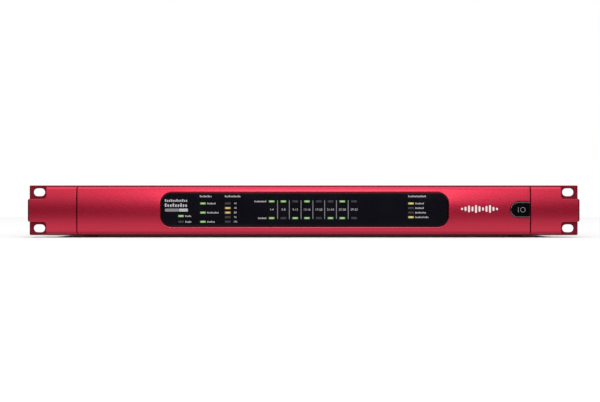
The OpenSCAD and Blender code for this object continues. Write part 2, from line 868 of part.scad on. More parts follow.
module link_socket_shells() {
    color(nickel) for (x = link_x) {
        slab(y_rear, y_rear + link_out) translate([x, 0]) difference() {
            link_2d(link_shell.x, link_shell.y);
            link_2d(link_shell.x - 2.2 * link_wall, link_shell.y - 2 * link_wall);
        }
        slab(y_rear, y_rear + 1) translate([x, 0]) difference() {
            rounded_rect(link_flange.x, link_flange.y, 1);
            link_2d(link_shell.x - 2.2 * link_wall, link_shell.y - 2 * link_wall);
            for (s = [-1, 1]) translate([s * link_screw_dx, 0]) circle(r = 1.5);
        }
    }
}

// Contact tongue on its block behind the panel
module link_socket_tongues() {
    color(plastic_black) for (x = link_x) {
        slab(y_inside, y_rear)
            translate([x, 0]) square([link_shell.x - 1, link_shell.y - 1], center = true);
        block(x - 11, x + 11, y_inside - 10, y_inside, z_board_top, z_mid + 5);
        slab(y_rear, y_rear + link_out - 0.8) translate([x, 0]) square([15.6, 2.2], center = true);
    }
}

module link_socket_jackscrews() {
    color(nickel) for (x = link_x, s = [-1, 1])
        translate([x + s * link_screw_dx, y_rear + 1, z_mid]) rotate([-90, 0, 0]) difference() {
            union() {
                cylinder(d = 4.8 / cos(30), h = 5, $fn = 6);
                translate([0, 0, -5]) cylinder(r = 1.3, h = 5.1);
            }
            translate([0, 0, 1]) cylinder(r = 1.1, h = 5);
        }
}

// Screw and washer for an earth lead
module ground_screw() {
    color(nickel) translate([ground_x, y_rear, z_mid - 9]) rotate([-90, 0, 0]) difference() {
        union() {
            cylinder(r = 4.6, h = 0.8);
            translate([0, 0, 0.8]) cylinder(r = 3.8, h = 2.4);
            translate([0, 0, -6]) cylinder(r = 1.9, h = 6.1);
        }
        for (a = [0, 90]) rotate([0, 0, a]) translate([0, 0, 2.8]) cube([4.6, 0.9, 1.6], center = true);
    }
}

// ---------- Inside ----------

module board_slab(x, y) {
    translate([x[0], y[0], z_board]) cube([x[1] - x[0], y[1] - y[0], pcb_t]);
}

module board_holes(posts) {
    for (p = posts) translate([p.x, p.y, z_board - 1]) cylinder(r = m3_clear_r, h = 4);
}

module main_board() {
    color(board_green) difference() {
        board_slab(main_x, main_y);
        board_holes(main_posts);
    }
}

// Chips and modules as [x, y from the board's front edge, width, depth, height]
chips = [
    [-120, 40, 30, 30, 3], [-120, 92, 16, 16, 1.8], [-60, 26, 14, 20, 1.8], [-60, 60, 14, 20, 1.8],
    [-160, 30, 10, 10, 1.5], [-160, 60, 10, 10, 1.5], [20, 70, 12, 12, 1.5], [50, 70, 12, 12, 1.5],
    [60, 24, 50, 32, 8], [-60, 104, 24, 10, 2.4], [0, 40, 8, 26, 6],
    [102, psu_y[0] + dc_dy - main_y[0], 6, 12, 8], [102, psu_y[1] + dc_dy - main_y[0], 6, 12, 8]
];
board_caps = [for (k = [0:5]) [-20 + k * 12, 100]];

module board_components() {
    color("#26282b") {
        for (c = chips)
            translate([c[0] - c[2] / 2, main_y[0] + c[1] - c[3] / 2, z_board_top])
                cube([c[2], c[3], c[4]]);
        for (c = board_caps)
            translate([c.x, main_y[0] + c.y, z_board_top]) cylinder(r = 4, h = 10);
    }
}

module processor_heatsink() {
    base = 44;
    fins = 9;
    color("#9a9ca0") translate([-120, main_y[0] + 40, z_board_top + 3]) {
        translate([-base / 2, -base / 2, 0]) cube([base, base, 2.5]);
        for (k = [0:fins - 1])
            translate([-base / 2 + k * (base - 1.4) / (fins - 1), -base / 2, 2])
                cube([1.4, base, 13]);
    }
}

module power_supply_boards() {
    color("#1d3f66") difference() {
        for (y = psu_y) board_slab(psu_x, [y, y + psu_l]);
        board_holes(psu_posts);
    }
}

module power_supply_components() {
    color("#b9a53a") for (y = psu_y) {
        block(psu_x[0] + 32, psu_x[0] + 60, y + 26, y + 50, z_board_top, z_board_top + 22);
        for (k = [0:3])
            translate([psu_x[0] + 16, y + 14 + k * 14, z_board_top]) cylinder(r = 5, h = 20);
        translate([psu_x[0] + 76, y + 30, z_board_top]) cylinder(r = 9, h = 26);
        block(psu_x[0] + 24, psu_x[0] + 26, y + 10, y + 62, z_board_top, z_board_top + 24);
        block(psu_x[0] + 66, psu_x[0] + 80, y + 46, y + 62, z_board_top, z_board_top + 15);
        block(ac_x - 11, ac_x + 11, y + ac_dy - 8, y + ac_dy, z_board_top, z_board_top + 10);
        block(dc_x - 3, dc_x + 3, y + dc_dy - 6, y + dc_dy + 6, z_board_top, z_board_top + 8);
    }
}

module standoff(r, h) {
    difference() {
        cylinder(r = r, h = h);
        translate([0, 0, h - 4.5]) cylinder(r = m3_thread_r, h = 5);
    }
}

module board_standoffs() {
    color("#b8b49a") {
        for (p = board_posts) translate([p.x, p.y, z_floor]) standoff(2.8, z_board - z_floor);
        for (p = display_posts)
            translate([p.x, y_rack + sheet_t, z_mid + p.y]) rotate([-90, 0, 0])
                standoff(2.5, y_plate - board_front - y_rack - sheet_t);
    }
}

module board_screws() {
    color(nickel) {
        for (p = board_posts)
            translate([p.x, p.y, z_board_top]) rotate([180, 0, 0]) button_screw(pcb_t + 3);
        for (p = display_posts)
            translate([p.x, y_plate - board_front + pcb_t, z_mid + p.y]) rotate([90, 0, 0])
                button_screw(pcb_t + 2.2);
    }
}

// The frame's own axis is Z; its arms, boss and shaft are at the inner end
module fan_frame() {
    hub_r = 9;
    difference() {
        translate([-fan_size / 2, -fan_size / 2, 0]) cube([fan_size, fan_size, fan_t]);
        translate([0, 0, -1]) cylinder(r = fan_bore_r, h = fan_t + 2);
        for (sx = [-1, 1], sy = [-1, 1])
            translate([sx * fan_hole, sy * fan_hole, -1]) cylinder(r = 1.6, h = fan_t + 2);
    }
    cylinder(r = hub_r, h = 2);
    cylinder(r = 1, h = 14);
    difference() {
        for (a = [30, 150, 270])
            rotate([0, 0, a]) translate([hub_r - 1, -1.2, 0]) cube([fan_bore_r - hub_r + 1.5, 2.4, 2]);
        cylinder(r = hub_r - 0.5, h = 3);
    }
}

module fan_rotor() {
    blades = 7;
    color("#2b2c30") difference() {
        union() {
            translate([0, 0, 3]) cylinder(r = 9.4, h = 13);
            intersection() {
                translate([0, 0, 4]) cylinder(r = 17, h = 11.5);
                for (k = [0:blades - 1])
                    rotate([0, 0, k * 360 / blades]) translate([12.7, 0, 9.6]) rotate([38, 0, 0])
                        cube([9.4, 1.2, 18], center = true);
            }
        }
        translate([0, 0, 2]) cylinder(r = 1.06, h = 13);
    }
}

module at_fan(y) {
    translate([fan_x + fan_t, y, z_mid]) rotate([0, -90, 0]) children();
}

module fan_frames() {
    color("#1f2023") for (y = fan_y) at_fan(y) fan_frame();
}

module fan_rotor_front() { at_fan(fan_y[0]) fan_rotor(); }

module fan_rotor_rear() { at_fan(fan_y[1]) fan_rotor(); }

// Flat cable from the display board to the main board, with a plug on each end
module ribbon_cable() {
    x0 = -34;
    w = 26;
    y0 = y_plate - board_front + pcb_t;
    y1 = main_y[0] + 9;
    z = z_mid - 4;
    color("#8d8f94") {
        block(x0, x0 + w, y0 + 7, y1, z, z + 0.9);
        block(x0, x0 + w, y1 - 0.9, y1, z_board_top + 7, z + 0.9);
        block(x0 - 1.5, x0 + w + 1.5, y0, y0 + 7, z - 2.6, z + 3.4);
        block(x0 - 1.5, x0 + w + 1.5, y1 - 3.4, y1 + 2.6, z_board_top, z_board_top + 7);
    }
}

// A wire along straight runs, with a ball a little thicker than the wire at each turn
module wire(path, r) {
    for (i = [0:len(path) - 2]) {
        d = path[i + 1] - path[i];
        translate(path[i])
            rotate(d.x != 0 ? [0, 90 * sign(d.x), 0] : d.y != 0 ? [-90 * sign(d.y), 0, 0]
                   : [d.z > 0 ? 0 : 180, 0, 0])
                cylinder(r = r, h = norm(d));
    }
    for (i = [1:len(path) - 2]) translate(path[i]) sphere(r = r * 1.06);
}

// Mains leads to both supplies and the switch, and the low-voltage and fan leads
module power_leads() {
    y_pins = y_rear - inlet_body.z - 6;
    z_pins = z_mid + inlet_well_z - pin_rise;
    z_ac = z_board_top + 5;
    y_far = [y_rack + 129.5, y_rack + 125.7];
    y_terminals = y_bracket + bracket_t + 26;
    z_switch = z_mid + face_lift - 4;
    color("#8a2f1c") for (k = [0, 1]) {
        x_end = ac_x - 7 + 14 * k;
        x_high = inlet_x[0] - pin_x + 2 * pin_x * k;
        z_high = z_mid + 12 + 3 * k;
        wire([
            [x_high, y_pins, z_pins], [x_high, y_pins - 6, z_pins],
            [x_high, y_pins - 6, z_high], [x_high, y_far[k], z_high],
            [x_end, y_far[k], z_high], [x_end, y_far[k], z_ac],
            [x_end, psu_y[0] + ac_dy, z_ac]
        ], 1.1);
        x_near = inlet_x[1] - pin_x + 2 * pin_x * k;
        wire([
            [x_near, y_pins, z_pins], [x_near, y_pins - 6, z_pins],
            [x_near, y_pins - 6, z_ac], [x_near, psu_y[1] + ac_dy, z_ac]
        ], 1.1);
        x_switch = button_x - 4 + 8 * k;
        wire([
            [x_switch, y_terminals, z_switch], [x_switch, psu_y[0] + 6, z_switch],
            [x_switch, psu_y[0] + 6, z_board_top]
        ], 1);
        for (y = psu_y, s = [-1, 1]) if (k == 0) {
            wire([
                [dc_x, y + dc_dy + 3 * s, z_board_top + 8], [dc_x, y + dc_dy + 3 * s, z_board_top + 11],
                [102, y + dc_dy + 3 * s, z_board_top + 11], [102, y + dc_dy + 3 * s, z_board_top + 8]
            ], 1);
        }
        x_lead = main_x[0] + 4 + 4 * k;
        wire([
            [fan_x + fan_t, fan_y[k] + 13, z_mid - 10], [x_lead, fan_y[k] + 13, z_mid - 10],
            [x_lead, main_y[0] + 14 - 5 * k, z_mid - 10], [x_lead, main_y[0] + 14 - 5 * k, z_board_top]
        ], 0.9);
    }
}

front_fascia();
left_end_cap();
right_end_cap();
rack_panel();
front_panel_screws();
display_lens();
lens_gasket();
green_light_pipes();
yellow_light_pipes();
amber_light_pipes();
unlit_light_pipes();
light_pipe_holder();
display_board();
display_leds();
power_button_cap();
power_button_stem();
power_button_spring();
power_button_bezel();
switch_bracket();
power_switch();
chassis_tray();
top_cover();
outer_screws();
flush_screws();
rear_panel();
rubber_feet();
mains_inlets();
inlet_pins();
fuse_drawer_a();
fuse_drawer_b();
fuse_a();
fuse_b();
network_jacks();
network_inserts();
network_contacts();
network_latch_1();
network_latch_2();
bnc_jacks();
bnc_insulators();
bnc_contacts();
bnc_nuts();
bnc_housings();
termination_switch();
termination_slider();
link_socket_shells();
link_socket_tongues();
link_socket_jackscrews();
ground_screw();
main_board();
board_components();
processor_heatsink();
power_supply_boards();
power_supply_components();
board_standoffs();
board_screws();
fan_frames();
fan_rotor_front();
fan_rotor_rear();
ribbon_cable();
power_leads();
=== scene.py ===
"""Looks of a one-unit rack-mount audio interface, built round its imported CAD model.

Outlines and sections are in millimetres, in the CAD's frame: +X right, the front faces -Y, +Z up.
"""

import math

import bmesh
import bpy
import numpy as np
from mathutils import Matrix, Vector


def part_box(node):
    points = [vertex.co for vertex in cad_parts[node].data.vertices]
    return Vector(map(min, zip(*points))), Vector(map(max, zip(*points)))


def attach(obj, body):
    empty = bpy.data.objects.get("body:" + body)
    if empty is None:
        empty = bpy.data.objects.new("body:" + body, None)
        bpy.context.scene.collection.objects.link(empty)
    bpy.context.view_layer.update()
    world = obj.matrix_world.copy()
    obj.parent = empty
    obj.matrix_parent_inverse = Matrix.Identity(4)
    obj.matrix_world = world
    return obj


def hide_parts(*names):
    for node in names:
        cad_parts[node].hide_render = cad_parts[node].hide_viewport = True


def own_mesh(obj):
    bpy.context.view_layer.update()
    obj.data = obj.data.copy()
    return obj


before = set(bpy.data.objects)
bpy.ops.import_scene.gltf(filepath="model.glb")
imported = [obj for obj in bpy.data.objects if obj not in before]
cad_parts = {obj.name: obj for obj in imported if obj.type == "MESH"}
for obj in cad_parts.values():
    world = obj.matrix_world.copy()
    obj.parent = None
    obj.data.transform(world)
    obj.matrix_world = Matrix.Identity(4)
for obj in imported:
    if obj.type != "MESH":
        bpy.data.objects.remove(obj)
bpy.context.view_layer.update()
MM = 0.001
CHASSIS = "chassis"


def box(node):
    """A CAD node's lowest and highest corner in millimetres."""
    low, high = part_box(node)
    return low / MM, high / MM


def centre(node):
    """The middle of a CAD node's box in millimetres, with its height from the panel's middle."""
    x, y, z = [(a + b) / 2 for a, b in zip(*box(node))]
    return x, y, z - Z_MID


def solids(node):
    """The middle of the box of each separate solid in a CAD node, in millimetres."""
    bm = bmesh.new()
    bm.from_mesh(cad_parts[node].data)
    bmesh.ops.remove_doubles(bm, verts=bm.verts, dist=1e-7)
    left, centres = set(bm.verts), []
    while left:
        island, queue = [], [left.pop()]
        while queue:
            vert = queue.pop()
            island.append(vert.co)
            near = {e.other_vert(vert) for e in vert.link_edges} & left
            left -= near
            queue += near
        low = [min(c[k] for c in island) for k in range(3)]
        high = [max(c[k] for c in island) for k in range(3)]
        centres.append(tuple(round((a + b) / 2 / MM, 2) for a, b in zip(low, high)))
    bm.free()
    return sorted(centres)


# ---------- Places, from the CAD model ----------

FASCIA_LOW, FASCIA_HIGH = box("front_fascia")
CAP_LOW, CAP_HIGH = box("right_end_cap")
PLATE_LOW, PLATE_HIGH = box("rack_panel")
BUTTON_LOW, BUTTON_HIGH = box("power_button_cap")
BEZEL_LOW, BEZEL_HIGH = box("power_button_bezel")
SPRING_LOW, SPRING_HIGH = box("power_button_spring")
HOLDER_LOW, HOLDER_HIGH = box("light_pipe_holder")
TRAY_LOW, TRAY_HIGH = box("chassis_tray")
COVER_LOW, COVER_HIGH = box("top_cover")
REAR_LOW, REAR_HIGH = box("rear_panel")

Y_CREST, Y_PLATE = FASCIA_LOW.y, FASCIA_HIGH.y
Y_RACK, Y_REAR = PLATE_HIGH.y, REAR_HIGH.y
Y_HALFWAY, CHASSIS_DEEP = (Y_RACK + Y_REAR) / 2, Y_REAR - Y_RACK
PANEL_HALF = (FASCIA_HIGH.z - FASCIA_LOW.z) / 2
Z_MID = (FASCIA_LOW.z + FASCIA_HIGH.z) / 2
HALF_WIDTH = CAP_HIGH.x
FASCIA_T = Y_PLATE - Y_CREST
SHEET = 1.2

# The face: one arc across its height, with a chamfer along each long edge
BULGE = 1.6
EDGE_CHAMFER = 2.0
FACE_R = PANEL_HALF**2 / (2 * BULGE) + BULGE / 2
CREASE = PANEL_HALF - EDGE_CHAMFER
CREASE_ROUND = 0.8
PRINT_T = 0.05  # how far printed marks stand out of their surface

SCREW_HOLE = 1.7
STEM_HOLE = 5.4
HOLDER_CORNER = 3.5

WINDOW_X, _, WINDOW_Z = centre("display_lens")
WINDOW = (251.6, 30.2, 9.4)
LENS_FACE = Y_PLATE - 7
BUTTON_Z = centre("power_button_bezel")[2]
BUTTON_R = (BEZEL_HIGH.z - BEZEL_LOW.z) / 2 + 0.15
BUTTON_X = BEZEL_LOW.x - 0.15 + BUTTON_R
STEM_X, _, STEM_Z = centre("power_button_stem")
NOTCH_X, TAB_HALF = HALF_WIDTH - 16.2, 10
SLOT_PITCH = (465.1, 31.75)
SLOT_SIZE = (10.2, 6.9)

FRONT_VIEW = Matrix(((1, 0, 0, 0), (0, 0, 1, 0), (0, 1, 0, Z_MID), (0, 0, 0, 1)))
REAR_VIEW = Matrix(((1, 0, 0, 0), (0, 0, -1, Y_REAR), (0, 1, 0, Z_MID), (0, 0, 0, 1)))


# ---------- Outlines: closed loops of (x, height) ----------


def arc(cx, cz, r, start, end, steps=10):
    angles = [math.radians(start + (end - start) * k / steps) for k in range(steps + 1)]
    return [(cx + r * math.cos(a), cz + r * math.sin(a)) for a in angles]


def circle(cx, cz, r, steps=32):
    return arc(cx, cz, r, 0, 360, steps)[:-1]


def rounded(cx, cz, w, h, r, steps=8):
    loop = []
    for k, (sx, sz) in enumerate(((1, 1), (-1, 1), (-1, -1), (1, -1))):
        corner = (cx + sx * (w / 2 - r), cz + sz * (h / 2 - r))
        loop += arc(*corner, r, 90 * k, 90 * k + 90, steps)
    return loop


def bullet(r):
    """The power button's outline, round on the left and flat on the right."""
    flat = BUTTON_HIGH.x
    return [*arc(BUTTON_X, BUTTON_Z, r, 90, 270, 20), (flat, BUTTON_Z - r), (flat, BUTTON_Z + r)]


def horseshoe(outer, inner):
    """A band round the power button that is open on its flat side."""
    flat = BEZEL_HIGH.x
    outside = arc(BUTTON_X, BUTTON_Z, outer, 90, 270, 24)
    inside = arc(BUTTON_X, BUTTON_Z, inner, 270, 90, 24)
    return [*outside, (flat, BUTTON_Z - outer), (flat, BUTTON_Z - inner),
            *inside, (flat, BUTTON_Z + inner), (flat, BUTTON_Z + outer)]


def cross(cx, cz, arm, half):
    """A plus sign whose arms reach arm and are 2 * half wide."""
    quarter = [(arm, -half), (arm, half), (half, half)]
    loop = []
    for k in range(4):
        c, s = round(math.cos(k * math.pi / 2)), round(math.sin(k * math.pi / 2))
        loop += [(cx + c * x - s * z, cz + s * x + c * z) for x, z in quarter]
    return loop


def panel_openings(margin):
    """What the plates behind the fascia leave open: the lamp holder, the button's stem, the screws."""
    x, _, z = centre("light_pipe_holder")
    wide, tall = HOLDER_HIGH.x - HOLDER_LOW.x, HOLDER_HIGH.z - HOLDER_LOW.z
    holder = rounded(x, z, wide + margin, tall + margin, HOLDER_CORNER)
    stem = rounded(STEM_X, STEM_Z, STEM_HOLE, STEM_HOLE, 0.2, 2)
    screws = {(x, z - Z_MID) for x, _, z in solids("front_panel_screws")}
    return [holder, stem] + [circle(x, z, SCREW_HOLE, 16) for x, z in sorted(screws)]


def facing(loop, sign):
    """The loop, running anticlockwise for sign +1 and clockwise for -1."""
    twice_area = sum(a[0] * b[1] - b[0] * a[1] for a, b in zip(loop, loop[1:] + loop[:1]))
    return loop if twice_area * sign > 0 else loop[::-1]


def inset(loop, distance):
    """The loop moved to its left, which is into the material, by distance."""
    points = np.array(loop)
    ahead = np.roll(points, -1, axis=0) - points
    ahead /= np.linalg.norm(ahead, axis=1)[:, None]
    normal = np.stack([-ahead[:, 1], ahead[:, 0]], axis=1)
    before = np.roll(normal, 1, axis=0)
    mitre = (normal + before) / (1 + (normal * before).sum(axis=1))[:, None]
    return points + mitre * distance


# ---------- Solids: bmeshes in millimetres ----------


def edge_rings(thickness, front, back):
    """(inset, depth) pairs that round the front edge by front and the back edge by back."""
    rings = []
    for k in range(4):
        a = math.radians(30 * k)
        rings.append((front * (1 - math.sin(a)), front * (1 - math.cos(a))))
    for k in range(3):
        a = math.radians(45 * k)
        rings.append((back * (1 - math.cos(a)), thickness - back * (1 - math.sin(a))))
    return rings


def walls(bm, rings):
    """Joins each ring of vertices to the next with a band of faces."""
    for near, far in zip(rings, rings[1:]):
        for k in range(len(near)):
            j = (k + 1) % len(near)
            bm.faces.new((near[k], near[j], far[j], far[k]))


def plate(outline, holes=(), thickness=1.0, edge=0.3, hole_edge=None, back=0.1):
    """A flat plate with rounded edges, in (x, height, depth). Depth 0 is its front face."""
    bm = bmesh.new()
    fronts, backs = [], []
    loops = [(facing(outline, 1), edge)]
    loops += [(facing(h, -1), edge if hole_edge is None else hole_edge) for h in holes]
    for loop, front in loops:
        rings = [
            [bm.verts.new((u, v, depth)) for u, v in inset(loop, distance)]
            for distance, depth in edge_rings(thickness, front, back)
        ]
        walls(bm, rings)
        fronts.append(rings[0])
        backs.append(rings[-1])
    for side in (fronts, backs):
        edges = [bm.edges.get((ring[k - 1], ring[k])) for ring in side for k in range(len(ring))]
        bmesh.ops.triangle_fill(bm, use_beauty=True, edges=edges)
    return bm


def printed(outline, holes=()):
    """The thin plate of a printed mark."""
    return plate(outline, holes, PRINT_T, edge=0.01, back=0.005)


def block(size, edge=0.3, segments=2):
    """A box about the origin with rounded edges."""
    bm = bmesh.new()
    bmesh.ops.create_cube(bm, size=1)
    bmesh.ops.scale(bm, vec=size, verts=bm.verts)
    reach = min(edge, min(size) * 0.45)
    bmesh.ops.bevel(bm, geom=bm.edges, offset=reach, segments=segments, profile=0.5, affect="EDGES")
    return bm


def skin(bm, rings):
    """Joins rings of vertices into a closed tube with flat ends."""
    walls(bm, rings)
    bm.faces.new(rings[0])
    bm.faces.new(rings[-1])


def turned(section, steps=36):
    """A lathe shape about +Z. Each section entry is (radius, height) or (half flats, height, sides)."""
    bm = bmesh.new()
    rings = []
    for radius, height, *sides in section:
        ring = []
        for k in range(steps):
            a = 2 * math.pi * k / steps
            r = radius
            if sides:
                half = math.pi / sides[0]
                r = radius / math.cos((a + half) % (2 * half) - half)
            ring.append(bm.verts.new((r * math.cos(a), r * math.sin(a), height)))
        rings.append(ring)
    skin(bm, rings)
    return bm


def coil(radius, wire, turns, length, steps=30, sides=12):
    """A coil spring that starts at the origin and runs along +Y, with closed end turns."""
    bm = bmesh.new()
    rings = []
    count = round(turns * steps)
    for i in range(count + 1):
        t = i / count
        a = 2 * math.pi * i / steps
        rise = length * (t + 0.55 * (t * t * (3 - 2 * t) - t))
        ring = []
        for k in range(sides):
            b = 2 * math.pi * k / sides
            reach = radius + wire / 2 * math.cos(b)
            along = rise + wire / 2 * math.sin(b)
            ring.append(bm.verts.new((reach * math.cos(a), along, reach * math.sin(a))))
        rings.append(ring)
    skin(bm, rings)
    return bm


def cut_at(bm, axis, places):
    """Adds edges across the mesh where the coordinate on that axis has these values."""
    normal = Vector((0, 0, 0))
    normal[axis] = 1
    for place in places:
        geometry = bm.verts[:] + bm.edges[:] + bm.faces[:]
        bmesh.ops.bisect_plane(bm, geom=geometry, dist=1e-4, plane_co=normal * place, plane_no=normal)


def add_object(name, data):
    obj = bpy.data.objects.new(name, data)
    bpy.context.scene.collection.objects.link(obj)
    return obj


def piece(name, parts, node=None, body=CHASSIS, smooth=32):
    """Joins (bmesh, place, material) parts into one object that rides on a body and replaces a node."""
    whole = bmesh.new()
    materials = []
    for bm, place, material in parts:
        if material not in materials:
            materials.append(material)
        bm.transform(place)
        bmesh.ops.recalc_face_normals(bm, faces=bm.faces)
        for face in bm.faces:
            face.material_index = materials.index(material)
            face.smooth = True
        mesh = bpy.data.meshes.new("part")
        bm.to_mesh(mesh)
        whole.from_mesh(mesh)
        bpy.data.meshes.remove(mesh)
        bm.free()
    bmesh.ops.scale(whole, vec=(MM, MM, MM), verts=whole.verts)
    mesh = bpy.data.meshes.new(name)
    whole.to_mesh(mesh)
    whole.free()
    for material in materials:
        mesh.materials.append(material)
    mesh.set_sharp_from_angle(angle=math.radians(smooth))
    obj = add_object(name, mesh)
    weighted = obj.modifiers.new("even_shading", "WEIGHTED_NORMAL")
    weighted.keep_sharp = True
    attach(obj, body)
    if node:
        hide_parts(node)
    return obj


def at(x, y, z):
    return Matrix.Translation((x, y, z))


def from_rear(x, height=0.0, out=0.0):
    """A place on the rear panel for a shape whose +Z points away from the chassis."""
    return at(x, Y_REAR + out, Z_MID + height) @ Matrix.Rotation(-math.pi / 2, 4, "X")


# ---------- Materials ----------


class Nodes:
    """The node tree of a material or of the world, with a material's Principled BSDF."""

    def __init__(self, owner):
        owner.use_nodes = True
        self.owner, self.tree = owner, owner.node_tree
        self.bsdf = self.tree.nodes.get("Principled BSDF")

    def add(self, kind, **values):
        node = self.tree.nodes.new(kind)
        for key, value in values.items():
            if hasattr(node, key):
                setattr(node, key, value)
            else:
                node.inputs[key.replace("_", " ")].default_value = value
        return node

    def link(self, source, target):
        self.tree.links.new(source, target)

    def grain(self, scale, stretch=(1, 1, 1), detail=3.0):
        """Noise in the object's own space, at scale per metre, stretched along its axes."""
        place = self.add("ShaderNodeTexCoord")
        mapping = self.add("ShaderNodeMapping", Scale=stretch)
        noise = self.add("ShaderNodeTexNoise", Scale=scale, Detail=detail)
        self.link(place.outputs["Object"], mapping.inputs["Vector"])
        self.link(mapping.outputs["Vector"], noise.inputs["Vector"])
        return noise.outputs["Fac"]

    def spread(self, source, low, high):
        """Maps source, near 0.3 to 0.7, to the range low to high."""
        ramp = self.add("ShaderNodeMapRange", From_Min=0.3, From_Max=0.7, To_Min=low, To_Max=high)
        self.link(source, ramp.inputs["Value"])
        return ramp.outputs["Result"]

    def tint(self, source, first, second):
        """A colour between first and second, by source."""
        mix = self.add("ShaderNodeMix", data_type="RGBA")
        for socket, colour in zip((6, 7), (first, second)):
            mix.inputs[socket].default_value = (*colour, 1)
        self.link(source, mix.inputs["Factor"])
        return mix.outputs[2]

    def bump(self, source, strength, height):
        node = self.add("ShaderNodeBump", Strength=strength, Distance=height * MM)
        self.link(source, node.inputs["Height"])
        self.link(node.outputs["Normal"], self.bsdf.inputs["Normal"])

    def put(self, **values):
        for key, value in values.items():
            self.bsdf.inputs[key.replace("_", " ")].default_value = value


def scaled(colour, factor):
    return tuple(min(1, c * factor) for c in colour)


def surface(name, colour, rough, metal=0, grain=900, stretch=(1, 1, 1), mottle=0.05,
            bump=(0.1, 0.05), coat=0, coat_rough=0.1, specular=0.5):
    """A mottled colour, a roughness within the range rough, and a bump of (strength, millimetres)."""
    n = Nodes(bpy.data.materials.new(name))
    cloud = n.grain(grain * 0.06, stretch)
    fine = n.grain(grain, stretch)
    n.link(n.tint(n.spread(cloud, 0, 1), scaled(colour, 1 - mottle), scaled(colour, 1 + mottle)),
           n.bsdf.inputs["Base Color"])
    n.link(n.spread(fine, *rough), n.bsdf.inputs["Roughness"])
    n.bump(fine, *bump)
    n.put(Metallic=metal, Coat_Weight=coat, Coat_Roughness=coat_rough, Specular_IOR_Level=specular)
    return n.owner


def glowing(name, colour, edge):
    """A lit light pipe: a hot middle that fades to its edges."""
    n = Nodes(bpy.data.materials.new(name))
    glow = n.add("ShaderNodeAttribute", attribute_name="glow")
    n.link(n.tint(glow.outputs["Fac"], edge, colour), n.bsdf.inputs["Emission Color"])
    n.link(n.tint(n.spread(n.grain(700), 0, 1), scaled(colour, 0.10), scaled(colour, 0.14)),
           n.bsdf.inputs["Base Color"])
    n.put(Roughness=0.3, Emission_Strength=0.92)
    return n.owner


def board_finish(name, mask, copper):
    """A circuit board: solder mask with paler runs of copper under it."""
    n = Nodes(bpy.data.materials.new(name))
    place = n.add("ShaderNodeTexCoord")
    traces = n.add("ShaderNodeTexVoronoi", distance="CHEBYCHEV", feature="F1", Scale=190.0)
    n.link(place.outputs["Object"], traces.inputs["Vector"])
    edge = n.add("ShaderNodeMapRange", From_Min=0.30, From_Max=0.34)
    n.link(traces.outputs["Distance"], edge.inputs["Value"])
    n.link(n.tint(edge.outputs["Result"], mask, copper), n.bsdf.inputs["Base Color"])
    n.link(n.spread(n.grain(500), 0.28, 0.4), n.bsdf.inputs["Roughness"])
    n.bump(edge.outputs["Result"], 0.2, 0.04)
    return n.owner


ALONG = (0.04, 1, 1)
RED = surface("red_anodised", (0.78, 0.024, 0.072), (0.22, 0.3), metal=1, grain=5200, stretch=ALONG,
              mottle=0.03, bump=(0.06, 0.02), coat=0.6, coat_rough=0.16)
# The fascia's red, made much darker and rougher, for the rack plate that sits back behind the fascia: the
# darker colour is painted shade.
SHADED_RACK_RED = surface("rack_red", (0.3, 0.016, 0.038), (0.38, 0.5), metal=1, grain=4200, mottle=0.06,
                   bump=(0.15, 0.03), coat=0.1, coat_rough=0.3)
LENS = surface("smoked_lens", (0.003, 0.0024, 0.0056), (0.1, 0.14), grain=60, mottle=0.2,
               bump=(0.02, 0.02), coat=0.15, coat_rough=0.04, specular=0.35)
GLOSS_BLACK = surface("gloss_black", (0.002, 0.002, 0.003), (0.12, 0.18), grain=300, mottle=0.1,
                      bump=(0.03, 0.01), specular=0.12)
# Pale grey metal for a thin ring inside the black button guide: a painted highlight for the light that the
# black guide catches on its rounded inner edge.
PAINTED_RIM_HIGHLIGHT = surface("button_rim_painted_highlight", (0.46, 0.44, 0.46), (0.16, 0.24), metal=1, mottle=0.06,
                     bump=(0.03, 0.01))
BLACK_PLASTIC = surface("black_plastic", (0.016, 0.016, 0.018), (0.42, 0.58), grain=2600, mottle=0.15,
                        bump=(0.25, 0.04))
BLACK_STEEL = surface("black_powder_coat", (0.016, 0.016, 0.017), (0.44, 0.62), grain=1500, mottle=0.2,
                      bump=(0.6, 0.12), specular=0.4)
RUBBER = surface("black_rubber", (0.018, 0.018, 0.018), (0.75, 0.9), grain=1800, mottle=0.2,
                 bump=(0.4, 0.08), specular=0.25)
PRINT = surface("white_print", (0.5, 0.49, 0.5), (0.5, 0.62), grain=3000, bump=(0.1, 0.01))
DIM_PRINT = surface("grey_print", (0.24, 0.235, 0.25), (0.5, 0.62), grain=3000, bump=(0.1, 0.01))
MARK = surface("mark_print", (0.86, 0.8, 0.81), (0.42, 0.55), grain=3000, mottle=0.04, bump=(0.1, 0.01))
UNLIT = surface("unlit_pipe", (0.028, 0.029, 0.034), (0.3, 0.42), mottle=0.15)
GREEN = glowing("lit_green", (0.42, 0.67, 0.27), (0.03, 0.14, 0.008))
YELLOW = glowing("lit_yellow", (0.78, 0.7, 0.19), (0.14, 0.11, 0.01))
AMBER = glowing("lit_amber", (0.76, 0.58, 0.19), (0.16, 0.08, 0.01))
ZINC = surface("zinc_plate", (0.62, 0.62, 0.6), (0.28, 0.42), metal=1, grain=700, mottle=0.12,
               bump=(0.15, 0.03))
NICKEL = surface("nickel_plate", (0.74, 0.72, 0.68), (0.14, 0.24), metal=1, mottle=0.04,
                 bump=(0.06, 0.01))
BLACK_SCREW = surface("black_oxide", (0.03, 0.03, 0.032), (0.3, 0.44), metal=0.8, grain=1400,
                      mottle=0.2, bump=(0.2, 0.03))
JACK_METAL = surface("black_plated", (0.045, 0.045, 0.05), (0.34, 0.46), metal=0.7, grain=1300,
                     mottle=0.1, bump=(0.2, 0.04))
GOLD = surface("gold_plate", (0.86, 0.6, 0.24), (0.16, 0.26), metal=1, grain=800, bump=(0.05, 0.01))
